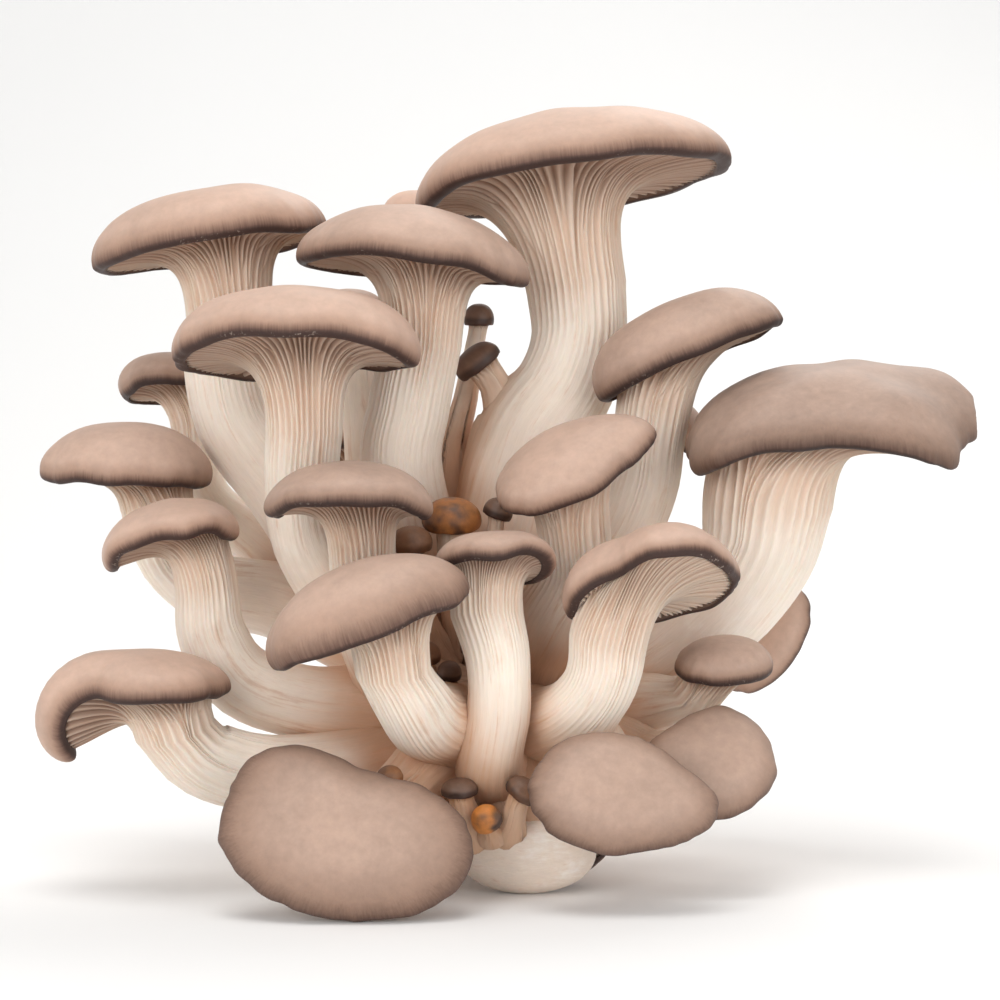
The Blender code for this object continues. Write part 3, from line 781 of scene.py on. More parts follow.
        # The smooth lower stem, with fewer columns
        coarse = sides // COARSE_RATIO
        columns = at_neck[::COARSE_RATIO]
        lower = slice(fine.ridge_rows + 1, None)
        below, drop = rows[lower], where[lower, None]
        past = drop - where[fine.ridge_rows]
        around = spokes(columns, right[lower, None], back[lower, None])
        fibres = 0.5 * ripple(random, columns + 0.004 * drop, range(14, 30))
        fibres = fibres + 0.5 * ripple(random, columns, range(3, 7))
        lumps = swell(random, below[:, None, :3] + below[:, None, 3:] * around, STEM_SWELL_LENGTH)
        bulge = below[:, 3:] * (FIBRE_RELIEF * fibres + STEM_SWELL * lumps * np.minimum(past / 12, 1.0))
        smooth = below[:, None, :3] + (below[:, 3:] + bulge)[..., None] * around

        # A ring and a point close it inside the cap, and a point closes its foot
        half = 0.5 * smooth_round(self.outline, at_margin)
        hidden = np.full(sides, self.under_height(0.5) - HIDDEN_GAP)
        points = np.vstack([
            self.place_middle(self.under_height(0.0) - HIDDEN_GAP),
            self.place(half * np.cos(at_margin), half * np.sin(at_margin), hidden),
            grid.reshape(-1, 3), smooth.reshape(-1, 3), rows[-1:, :3]])
        fine_rows = 1 + len(grid)
        second = 1 + fine_rows * sides
        last = len(points) - 1
        faces = [ring_fan(0, 1, sides), ring_quads(1, fine_rows, sides),
                 ring_step(second - sides, sides, second, COARSE_RATIO),
                 ring_quads(second, len(smooth), coarse), ring_fan(last, last - coarse, coarse)]

        # What the finish reads
        length = np.concatenate([[-2 * reach], -(1 - steps) * 1.6 * reach, where[ridges]])[:, None]
        fibre = np.vstack([
            [[0, 0, -2 * reach]],
            vectors(width * np.cos(angle), width * np.sin(angle), length).reshape(-1, 3),
            vectors(*(width * wave(angle[::COARSE_RATIO]) for wave in (np.cos, np.sin)), drop).reshape(-1, 3),
            [[0, 0, where[-1]]]])
        shaded = np.concatenate([[1.0], 1 - smooth_step(steps, 0.22, 0.8), np.zeros(fine.ridge_rows)])
        shaded = shaded[:, None] * (1 - self.open_gills)
        bare = (len(smooth) * coarse + 1, 3)
        comb = vectors(np.cos(column_turn), np.sin(column_turn), shaded).reshape(-1, 3)
        # Painted shade in the grooves of the fibre relief, fading down the stem
        streaks = np.clip(0.12 - 0.25 * fibres, 0, 0.4) * np.exp(-past / 25)
        closing = np.zeros((1 + sides, 3))
        movable = np.zeros(len(points))
        movable[1 + sides * (1 + fine.gill_rows):-1] = 1.0
        return Surface(points, faces, {
            "furrow_shade": np.concatenate([np.full(1 + sides, 0.5), furrow_shade.ravel(), streaks.ravel(), [0]]),
            "down": np.clip(fibre[:, 2] / max(where[-1], 1.0), -1, 1),
            "outward": np.vstack([closing, outward.reshape(-1, 3), around.reshape(-1, 3), np.zeros((1, 3))]),
            "movable": movable,
            "comb": np.vstack([np.zeros((1, 3)), comb, np.zeros(bare)]),
            "fibre": fibre * np.array(FIBRE_STRETCH)})


LARGE, FACING, SMALL, HIDDEN = Detail.LARGE, Detail.FACING, Detail.SMALL, Detail.HIDDEN

MUSHROOMS = (
    Mushroom(
        "cap_crown", (19, 18, 173), (40, 30, 17.4), (7, -10.5, 0), ((19.5, 17, 145, 12.2), (20, 16, 132, 12),
        (16.5, 14, 120, 12.5), (7.5, 12, 106, 13), (0, 10, 82, 12), (-3, 8, 46, 12)), curl=(17, 4),
        droop=(1, 1), outline=(1, 0.98, 1.03, 0.99, 1.02, 1.03, 0.99, 1.01), seat=(-0.12, 0),
        flare=(1.5, 1.0), detail=LARGE, shoulder=1.8, margin=8.5),
    Mushroom(
        "cap_upper_middle", (-21.5, -9, 151), (28.8, 22, 14.2), (-6, -5, 0), ((-19.5, -7, 131, 9.6),
        (-22.5, -4, 116, 10), (-24.5, -2, 100, 10.2), (-17, 4, 70, 10), (-8, 6, 45, 10)), curl=(13, 14),
        droop=(0, 1.5), twist=9, outline=(1, 0.98, 0.96, 1.03, 1, 0.98, 1.02, 0.99), seat=(0.1, 0),
        flare=(1.1, 1.0), detail=LARGE, tone=-0.3, shoulder=1.7),
    Mushroom(
        "cap_upper_left", (-73.2, 12, 155.7), (29.7, 22, 14.2), (9.2, -6, 0), ((-68.3, 12, 137, 10.5),
        (-69.6, 12, 125, 10.3), (-66, 12, 110, 10.5), (-55, 12, 95, 10.5), (-42, 12, 78, 11),
        (-25, 12, 58, 11), (-10, 10, 44, 11)), curl=(7, 0), droop=(0, 0.5),
        outline=(1, 0.99, 0.98, 0.96, 1.01, 0.98, 1.02, 1), seat=(0.1, 0), flare=(1.0, 1.0), detail=LARGE,
        tone=-0.05, shoulder=2.6, margin=8),
    Mushroom(
        "cap_middle_left", (-49, -30, 129.4), (29.5, 23, 14.6), (0, -14, 0), ((-47.3, -27, 111, 9),
        (-48.2, -22, 98, 9), (-46.5, -17, 84, 9.6), (-38, -13, 70, 10.5), (-26, -8, 56, 10.5),
        (-10, -2, 45, 10.5)), curl=(17, 22), droop=(0, 1), twist=4,
        outline=(1, 0.8, 0.97, 1.03, 1, 1.03, 0.98, 1.02), seat=(0.04, 0), flare=(1.15, 1.15), detail=LARGE,
        tone=0.02),
    Mushroom(
        "cap_upper_right", (47, -4, 128), (24.7, 16.5, 14.4), (22.6, -5, 0), ((38.4, -2, 116, 8.9),
        (37, -1, 107, 8.8), (35.6, 1, 97, 9.2), (32, 2, 87, 9.3), (25.5, 5, 76, 9.4), (15, 8, 54, 10),
        (4, 8, 42, 10)), curl=(10, 0), outline=(1, 1.02, 0.98, 1.02, 1, 0.98), seat=(-0.24, 0),
        flare=(1.15, 1.0), tone=-0.45),
    Mushroom(
        "cap_far_right", (81, -13, 113.5), (37.2, 26, 12.3), (3, 15, 0), ((66.3, -8, 92, 15.6),
        (63.4, -7, 79, 14.3), (53, -5, 64, 13), (36, -2, 50, 12), (16, 3, 42, 12)), curl=(50, 26),
        droop=(0, 1), twist=24, outline=(1.03, 0.97, 1.03, 0.98, 1, 0.97, 1, 1.1, 1.08, 0.92, 1.18, 1.0),
        seat=(-0.35, 0.05), flare=(1.1, 1.0), detail=LARGE, tone=-0.75, waves=0.9, shoulder=1.6, margin=11),
    Mushroom(
        "cap_far_left", (-93.5, 2, 99.3), (21, 16, 12.3), (-2, 3, 0), ((-85.5, 4, 85, 8.8),
        (-81.5, 6, 76, 8.8), (-72, 7, 69, 9.2), (-56, 7, 66, 9.6), (-38, 8, 58, 10), (-18, 8, 47, 10)),
        curl=(16, 24), droop=(1, 1), outline=(1, 1.02, 0.98, 1.02, 1, 0.98), seat=(0.35, 0.05),
        flare=(0.85, 1.0), tone=-0.25, shoulder=1.9),
    Mushroom(
        "cap_left_arched", (-79.2, -24, 85.8), (17.6, 14, 7.8), (11, 0, 0), ((-71.5, -22, 72, 7.4),
        (-70, -22, 60, 8.4), (-63, -21, 49, 9), (-48, -18, 43.5, 9), (-32, -13, 42, 9), (-12, -4, 41, 9)),
        curl=(54, 66), droop=(0, 1), outline=(0.92, 0.95, 1, 1.04, 1.12, 1.1, 1.04, 0.97), seat=(0.35, 0.05),
        flare=(1.0, 1.0), tone=0.05, shoulder=1.5),
    Mushroom(
        "cap_left_curled", (-85.5, -41.5, 49.5), (24, 15.5, 9), (0, 2, 0), ((-77.5, -38.5, 39, 9.4),
        (-71.5, -36.5, 32.5, 9.4), (-62, -33, 28.5, 9.4), (-51, -29, 27, 9.3), (-38, -22, 27.5, 9),
        (-26, -14, 30, 9), (-8, -4, 33, 9)), curl=(84, 6), droop=(0, 1),
        outline=(0.87, 1, 1, 1.1, 1.33, 0.72, 1.05, 0.96), seat=(0.3, 0.05), flare=(1.0, 1.0), tone=-0.02,
        shoulder=2.3, margin=7),
    Mushroom(
        "cap_front_left", (-30.5, -62, 68.4), (25.2, 16.5, 13), (19.8, 8, 0), ((-24.8, -57, 55, 8.5),
        (-20.8, -54, 48, 8.8), (-17.8, -49, 43, 9.2), (-14, -39, 41, 9.6), (-10, -26, 38, 10),
        (-6, -10, 36, 10)), curl=(25, 16), droop=(1, 0),
        outline=(0.97, 1.02, 0.98, 1.0, 0.99, 1.05, 0.98, 1.0), seat=(0.25, 0.1), flare=(1.0, 1.0),
        detail=LARGE, tone=-0.25, shoulder=1.75, margin=15),
    Mushroom(
        "cap_middle", (-35.5, -46, 95), (20.3, 16, 9), (0, -1, 0), ((-33, -38, 83, 7.8),
        (-32.5, -30, 68, 7.8), (-29, -23, 55, 8.4), (-20, -14, 46, 9), (-6, -4, 42, 9)), curl=(38, 42),
        droop=(0, 1), seat=(0.12, 0.1), tone=-0.45, shoulder=1.45),
    Mushroom(
        "cap_front_fan", (-1.5, -44, 80.8), (14, 12, 6), (0, -8, 0), ((-3, -45, 67, 8.4),
        (-0.5, -47, 57, 7.6), (-0.2, -48.5, 45, 7), (-1.8, -46.5, 34, 7.2), (-2, -36, 29.5, 8),
        (-2, -14, 33, 10)), curl=(38, 76), droop=(0, 7), twist=-35,
        outline=(1.02, 1.16, 1.05, 1, 1, 1, 1, 1.02), seat=(-0.1, 0.1), detail=LARGE, tone=-0.25),
    Mushroom(
        "cap_front_right", (36, -50, 75), (20.6, 18.5, 12.3), (6, -30, 0), ((25.6, -47, 61, 9.0),
        (24.8, -47, 54.5, 8.7), (22.5, -46, 49, 8.6), (17.5, -43, 43.5, 8.6), (11, -34, 40, 9),
        (4, -22, 38, 10), (-2, -8, 38, 10)), curl=(24, 8), outline=(0.98, 1, 1.03, 1.06, 1, 0.68, 0.94, 1),
        seat=(-0.36, 0), flare=(1.0, 1.0), detail=LARGE, tone=0.02, open_gills=0.5, margin=4.5),
    Mushroom(
        "cap_centre_right", (18.3, -33, 102), (20.5, 13.2, 9), (22, 27, 0), ((18, -27, 85, 8.4),
        (18.3, -25, 76, 8.4), (13.5, -20, 66, 9), (7, -14, 54, 9.5), (0, -5, 44, 10)),
        outline=(1, 0.98, 1.02, 1, 1, 1.16, 1.08, 0.86), seat=(-0.1, 0.1), flare=(1.4, 1.0), tone=-0.25),
    Mushroom(
        "cap_bottom_left", (-36, -70, 19.45), (29.3, 21, 9), (-5, 65, 0), ((-30, -55, 20, 8),
        (-24, -43, 23, 8.2), (-16, -28, 29, 9.2), (-5, -10, 36, 10)),
        outline=(1.02, 0.9, 0.75, 0.78, 1.06, 1.02, 0.97, 0.97, 0.97, 0.98, 1.04, 1.07), seat=(0.1, 0.25),
        detail=FACING, tone=-0.45, waves=0.5, margin=22),
    Mushroom(
        "cap_bottom_right", (28, -64, 27.5), (21.5, 15, 7.5), (-4, 60, 0), ((25.5, -50, 30, 6.9),
        (22, -37, 35, 8), (14, -20, 38, 9), (2, -6, 38, 9)),
        outline=(1.03, 0.84, 0.86, 0.96, 1.03, 1, 1.0, 1.02, 1.04, 1, 0.98, 1.06), seat=(0, 0.2),
        detail=FACING, tone=-0.5, margin=14),
    Mushroom(
        "cap_lower_right", (49.8, -43, 31.8), (16, 15.6, 7.5), (-8, 50, 0), ((36.5, -31, 31, 6.8),
        (26, -20, 33, 8), (8, -6, 38, 9)), outline=(1, 1, 0.98, 0.8, 1, 1.06, 1.02, 0.96), seat=(-0.2, 0.1),
        detail=SMALL, tone=-0.4, margin=13),
    Mushroom(
        "cap_right_small", (54, -31, 53.5), (11.8, 10, 7), (2, 14, 0), ((47, -25, 45.5, 6), (38, -18, 43, 7),
        (24, -10, 41, 8.4), (6, -4, 40, 9)), seat=(-0.25, 0.1), detail=SMALL, tone=-0.5),
    Mushroom(
        "cap_right_behind", (67, 16, 56.5), (15.5, 12, 6.5), (55, 50, 0), ((69.5, 25, 52.5, 5),
        (67, 31, 48, 5.2), (54, 32, 45, 6), (30, 21, 43, 8), (6, 9, 42, 9)),
        outline=(1, 1, 1, 1, 1.02, 1.04, 0.97, 1), seat=(0.0, 0.05), detail=SMALL, tone=-0.05),
    Mushroom(
        "cap_left_behind", (-85.6, 31, 119.6), (12.6, 12, 9), (2, -13, 0), ((-80, 30, 109, 5),
        (-79, 29, 101, 5.6), (-75, 28, 90, 6.4), (-64, 25, 81, 7), (-44, 19, 66, 8), (-14, 13, 46, 9)),
        curl=(34, 14), droop=(0, 1), seat=(0.3, 0), detail=SMALL, tone=-0.4),
    Mushroom(
        "cap_top_behind", (-21.8, 40, 165), (8.8, 8, 6), (0, 4, 0), ((-21.7, 39, 155, 4.6),
        (-21.5, 33, 135, 5), (-21.5, 23, 110, 6), (-16, 14, 75, 8), (-6, 10, 48, 9)), detail=HIDDEN,
        tone=0.3),
    Mushroom(
        "cap_middle_behind", (-38, 24, 139), (9, 8.5, 6), (-4, 4, 0), ((-36, 22, 129, 5.2), (-34, 19, 110, 6),
        (-31, 16, 90, 7), (-22, 12, 64, 8), (-8, 10, 46, 9)), detail=HIDDEN, tone=-0.2, glow=0.3),
    Mushroom(
        "cap_right_hidden", (46, 17, 110), (8, 7, 5), (-50, 30, 0), ((38, 16, 100, 3.8), (31, 15, 86, 4.6),
        (18, 12, 64, 6), (4, 8, 46, 8)), detail=HIDDEN, tone=-0.15),
    Mushroom(
        "cap_under_base", (15.6, -25, 11), (11.5, 10, 4.5), (8, -118, 0), ((8, -38, 13.5, 8.6),
        (5, -35, 22, 9), (1, -22, 32, 11)), seat=(-0.1, -0.1), detail=HIDDEN, tone=-0.1),
    Mushroom(
        "cap_back_left", (-36, 52, 99), (19, 16, 10.5), (0, -25, 0), ((-31, 43, 85, 7.6), (-24, 35, 70, 8),
        (-14, 24, 52, 9), (-6, 16, 40, 9)), curl=(18, 18), outline=(1, 1.03, 0.97, 1.02, 1, 0.98),
        detail=SMALL, tone=0.05),
    Mushroom(
        "cap_back_right", (24, 50, 77), (19, 16, 10.5), (-4, -28, 0), ((19, 41, 64, 7.6), (15, 33, 54, 8),
        (7, 22, 44, 9), (0, 16, 38, 9)), curl=(18, 18), outline=(1, 0.97, 1.02, 0.98, 1.03, 1), detail=SMALL,
        tone=-0.1),
    Mushroom(
        "cap_back_low", (-22, 50, 36), (16, 13, 7.5), (3, -52, 0), ((-18, 39, 35, 6.6), (-12, 30, 36, 8),
        (-6, 20, 36, 9)), outline=(1, 1.03, 0.98, 1.02), detail=SMALL, tone=0.15),
)


def pin(name: str, centre: Triple, size: Triple, turn: Triple, stem: tuple, glow: float = 0.0) -> Mushroom:
    """One of the small dark young mushrooms that stand in the gaps."""
    return Mushroom(name, centre, size, turn, stem, detail=Detail.PIN, glow=glow)


PINS = (
    pin("pin_tall_high", (-5.4, 24, 137.2), (3.9, 3.7, 4), (0, 5, 0), ((-6, 24, 133, 2.3), (-8.6, 22, 118, 3),
        (-12, 18, 98, 3.6), (-9, 12, 60, 4.5))),
    pin("pin_tall_slanted", (-5.6, 13, 126.3), (6.4, 5, 4.2), (38, 10, 0), ((-1.6, 13, 121, 3.9),
        (0.4, 13, 114, 4.3), (-3.6, 12, 103, 4.6), (-7, 10, 60, 5))),
    pin("pin_golden", (-11.8, -19, 88), (7.3, 6.5, 5.4), (0, 15, 0), ((-11.5, -19, 83, 3.9),
        (-11, -17, 74, 3.8), (-9, -12, 60, 4.5), (-6, -4, 46, 5)), 0.6),
    pin("pin_hooked", (-0.5, -17, 90), (3.7, 3.4, 3.4), (-20, 10, 0), ((-1, -17, 86.5, 2), (-2, -15, 78, 2.4),
        (-2, -11, 62, 3), (-2, -4, 48, 4))),
    pin("pin_wrinkled", (-21.5, -25, 83), (5.2, 4.8, 3.8), (0, 20, 0), ((-21.5, -25, 79, 2.6),
        (-20.5, -22, 70, 3), (-17, -15, 58, 3.6), (-10, -6, 46, 4)), 0.15),
    pin("pin_orange", (6.6, -24, 82), (3.3, 3.1, 3.2), (10, 15, 0), ((6.2, -23.5, 79, 1.9), (5, -19, 70, 2.6),
        (4, -12, 58, 3.2), (1, -5, 46, 4)), 0.7),
    pin("pin_hollow_left", (-17.5, -30.5, 56), (3.3, 3.1, 3.4), (5, 25, 0), ((-17.2, -29.5, 51.5, 2),
        (-15, -22, 47, 2.8), (-10, -10, 42, 4)), 0.2),
    pin("pin_hollow_middle", (-12.2, -32.5, 52), (3, 2.8, 3), (-5, 25, 0), ((-12, -29.5, 46.6, 2),
        (-10.5, -22, 44, 2.8), (-8, -10, 41, 4))),
    pin("pin_low_grey", (-9.5, -50, 26.2), (4.4, 4, 2.8), (3, 10, 0), ((-8.9, -49.4, 23.1, 3.0),
        (-7.8, -47.5, 18.5, 3.2), (-6, -41, 13, 3.8), (-3, -26, 22, 5))),
    pin("pin_low_orange", (-3.1, -53, 19.6), (3.7, 3.2, 4.2), (24, 42, 0), ((-2.5, -50.6, 17, 2.2),
        (-1.8, -44, 15, 3), (-1, -30, 22, 4)), 1.0),
    pin("pin_low_dark", (5.3, -52, 26.1), (4.3, 3.9, 3.2), (-34, 16, 0), ((3.9, -51.2, 22.9, 2.6),
        (3, -48.8, 18.4, 2.6), (1.6, -42, 14, 3.4), (0, -28, 23, 4)), 0.1),
    pin("pin_low_left", (-25.8, -55.5, 29.9), (3.2, 3, 2.8), (10, 25, 0), ((-25.4, -53, 26.8, 2),
        (-22, -46, 23, 3), (-12, -24, 31, 4)), 0.3),
)


class Value:
    """A number that varies over a surface: one socket, with arithmetic that adds its Math nodes."""

    def __init__(self, graph: "ShaderGraph", socket: bpy.types.NodeSocket) -> None:
        """Wraps an output socket of the graph's material."""
        self.graph = graph
        self.socket = socket

    def _with(self, operation: str, first: "Number", second: "Number") -> "Value":
        """A Math node of two numbers or values."""
        node = self.graph.node("ShaderNodeMath", {"operation": operation}, {0: first, 1: second})
        return Value(self.graph, node.outputs[0])

    def __add__(self, other: "Number") -> "Value":
        """self + other."""
        return self._with("ADD", self, other)

    def __radd__(self, other: "Number") -> "Value":
        """other + self."""
        return self._with("ADD", other, self)

    def __sub__(self, other: "Number") -> "Value":
        """self - other."""
        return self._with("SUBTRACT", self, other)

    def __rsub__(self, other: "Number") -> "Value":
        """other - self."""
        return self._with("SUBTRACT", other, self)

    def __mul__(self, other: "Number") -> "Value":
        """self * other."""
        return self._with("MULTIPLY", self, other)

    def __rmul__(self, other: "Number") -> "Value":
        """other * self."""
        return self._with("MULTIPLY", other, self)

    def between(self, low: float, high: float) -> "Value":
        """0 below low, 1 above high and an S-curve between them."""
        node = self.graph.node(
            "ShaderNodeMapRange", {"interpolation_type": "SMOOTHSTEP"},
            {"Value": self, "From Min": low, "From Max": high, "To Min": 0.0, "To Max": 1.0})
        return Value(self.graph, node.outputs["Result"])


Number = Union[Value, float]
Tint = Union[Triple, bpy.types.NodeSocket]


class ShaderGraph:
    """The node graph of one material."""

    def __init__(self, name: str) -> None:
        """Makes the material with its Principled shader."""
        self.material = bpy.data.materials.new(name)
        self.material.use_nodes = True
        self.tree = self.material.node_tree
        self.shader = self.tree.nodes["Principled BSDF"]

    def put(self, socket: bpy.types.NodeSocket, value: Any) -> None:
        """Links or sets one input socket.

        Args:
            socket: the input.
            value: a value or socket to link, a colour, or what else the input takes.
        """
        if isinstance(value, Value):
            value = value.socket
        if isinstance(value, bpy.types.NodeSocket):
            self.tree.links.new(value, socket)
        elif isinstance(value, tuple) and socket.type == "RGBA":
            socket.default_value = (*value, 1.0)
        else:
            socket.default_value = value

    def node(self, kind: str, settings: dict[str, Any], inputs: dict[Any, Any]) -> bpy.types.Node:
        """Any node of the graph.

        Args:
            kind: the node's type.
            settings: its properties, which are set first.
            inputs: socket name or number to a number, colour, value or socket.

        Returns:
            The node.
        """
        made = self.tree.nodes.new(kind)
        for name, value in settings.items():
            setattr(made, name, value)
        for name, value in inputs.items():
            self.put(made.inputs[name], value)
        return made

    def attribute(self, name: str) -> Value:
        """A number stored on the mesh's points."""
        return Value(self, self.node("ShaderNodeAttribute", {"attribute_name": name}, {}).outputs["Fac"])

    def vector(self, name: str) -> bpy.types.NodeSocket:
        """A vector stored on the mesh's points."""
        return self.node("ShaderNodeAttribute", {"attribute_name": name}, {}).outputs["Vector"]

    def parts(self, vector: bpy.types.NodeSocket) -> list[Value]:
        """The three numbers of a vector."""
        outputs = self.node("ShaderNodeSeparateXYZ", {}, {"Vector": vector}).outputs
        return [Value(self, output) for output in outputs]

    def place(self) -> bpy.types.NodeSocket:
        """Where a point is, in metres."""
        return self.node("ShaderNodeTexCoord", {}, {}).outputs["Object"]

    def noise(self, where: bpy.types.NodeSocket, scale: float, detail: float = 3.0,
              rough: float = 0.55) -> Value:
        """Noise from about 0.2 to 0.8.

        Args:
            where: the positions it is read at.
            scale: lumps for each unit of the positions.
            detail: how many finer noises are added.
            rough: how strong those are.

        Returns:
            Its value.
        """
        made = self.node("ShaderNodeTexNoise", {"noise_dimensions": "3D"},
                         {"Vector": where, "Scale": scale, "Detail": detail, "Roughness": rough})
        return Value(self, made.outputs["Fac"])

    def layered(self, colour: Tint, *layers: tuple[Number, Tint]) -> bpy.types.NodeSocket:
        """A colour with others laid over it in turn.

        Args:
            colour: the lowest.
            layers: pairs of a share, from 0 to 1, and the colour that shows by that much.

        Returns:
            The mixed colour.
        """
        for share, over in layers:
            made = self.node("ShaderNodeMix", {"data_type": "RGBA", "clamp_factor": True},
                             {0: share, 6: colour, 7: over})
            colour = made.outputs[2]
        return colour

    def shade(self, colour: Tint, light: Number) -> bpy.types.NodeSocket:
        """A colour times a number."""
        made = self.node("ShaderNodeVectorMath", {"operation": "SCALE"}, {0: colour, "Scale": light})
        return made.outputs["Vector"]

    def bump(self, height: Value, distance: float, strength: float) -> bpy.types.NodeSocket:
        """A normal bent by a height.

        Args:
            height: the height, in units of distance.
            distance: what a height of one stands for, in metres.
            strength: how much of it is used.

        Returns:
            The normal.
        """
        made = self.node("ShaderNodeBump", {}, {"Height": height, "Distance": distance, "Strength": strength})
        return made.outputs["Normal"]

    def finish(self, **inputs: Any) -> bpy.types.Material:
        """Sets the shader's inputs, named with underscores for spaces, and returns the material."""
        for name, value in inputs.items():
            self.put(self.shader.inputs[name.replace("_", " ")], value)
        return self.material


@dataclass(frozen=True)
class CapSkin:
    """The satin brown skin of a cap, pale on its crown and dark round its rolled margin, partly rim colour
    and partly painted shade.
    """

    crown: Triple = (0.585, 0.405, 0.318)
    flank: Triple = (0.40, 0.252, 0.183)
    band: Triple = (0.142, 0.077, 0.056)
    rim: Triple = (0.048, 0.025, 0.020)
    frost: Triple = (0.45, 0.36, 0.30)
    underside: Triple = (0.16, 0.098, 0.070)
    roughness: float = 0.52
    relief: float = 0.00018

    def material(self) -> bpy.types.Material:
        """The skin's material, read from path, tone and radial.

        The colour goes from crown to underside along path, whose steps blotches and fibrils make
        uneven; the darkening from crown to margin is partly the cap's darker rim and partly painted
        shade where the top turns from the light. Pale flecks lie in patches on the lip, and tone and
        mottles make it lighter or darker.

        Returns:
            The material.
        """
        graph = ShaderGraph("cap_skin")
        path, tone = graph.attribute("path"), graph.attribute("tone")
        place, radial = graph.place(), graph.vector("radial")
        blotch = graph.noise(place, 60.0, 4.0, 0.6) - 0.5
        mottle = graph.noise(place, 420.0, 4.0, 0.65) - 0.5
        fibril = graph.noise(radial, 1.9, 4.0, 0.7) - 0.5
        edge = path + 0.4 * blotch * (1.0 - path) + 0.16 * fibril
        patch = graph.noise(place, 55.0, 2.0).between(0.52, 0.64)
        flecks = (graph.noise(place, 1300.0, 2.0) + 0.3 * fibril).between(0.58, 0.72) * patch
        lip = path.between(1.05, 1.3) - path.between(1.6, 1.9)
        # Crown to flank, band and rim: the cap's darker margin, partly painted shade where the top turns from
        # the light
        colour = graph.layered(
            self.crown,
            (edge.between(0.0, 0.9), self.flank),
            ((edge + 0.2 * fibril).between(0.62, 1.08), self.band),
            ((path + 0.35 * fibril).between(0.92, 1.25), self.rim),
            (lip * flecks * 0.5, self.frost),
            (path.between(1.75, 2.0), self.underside))
        light = 1.0 + 0.45 * tone + 0.4 * blotch + 0.3 * mottle + fibril * 0.3 * path.between(0.1, 0.8)
        height = graph.noise(place, 900.0, 3.0, 0.6) * 0.6 + fibril * 0.6 * path.between(0.2, 0.9)
        return graph.finish(
            Base_Color=graph.shade(colour, light),
            Roughness=self.roughness + 0.2 * mottle + 0.1 * path.between(0.5, 1.0),
            Normal=graph.bump(height, self.relief, 0.4), Subsurface_Weight=0.1,
            Subsurface_Radius=(1.0, 0.45, 0.25), Subsurface_Scale=0.0012,
            Sheen_Weight=0.04, Sheen_Roughness=0.5, Specular_IOR_Level=0.3)


@dataclass(frozen=True)
class PinSkin:
    """The dark skin of the smallest caps, some of them lit orange from behind."""

    dark: Triple = (0.060, 0.030, 0.021)
    crown: Triple = (0.17, 0.095, 0.064)
    orange: Triple = (0.66, 0.24, 0.05)
    roughness: float = 0.5
    relief: float = 0.0002

    def material(self) -> bpy.types.Material:
        """The skin's material, read from path and glow.

        Returns:
            Crown to dark along path, orange in patches where the pin glows, and a fine mottle.
        """
        graph = ShaderGraph("pin_skin")
        path, glow, place = graph.attribute("path"), graph.attribute("glow"), graph.place()
        mottle = graph.noise(place, 700.0, 3.0, 0.6) - 0.5
        # Painted light: orange patches where light shines through the pin from behind
        lit = glow * (graph.noise(place, 130.0, 2.0) + 0.1 * mottle).between(0.36, 0.62)
        colour = graph.layered(self.crown, (path.between(0.3, 1.0), self.dark), (lit, self.orange))
        return graph.finish(
            Base_Color=graph.shade(colour, 1.0 + 0.6 * mottle), Roughness=self.roughness + 0.2 * mottle,
            Normal=graph.bump(mottle, self.relief, 0.4), Subsurface_Weight=0.15,
            Subsurface_Radius=(1.0, 0.4, 0.2), Subsurface_Scale=0.0015)


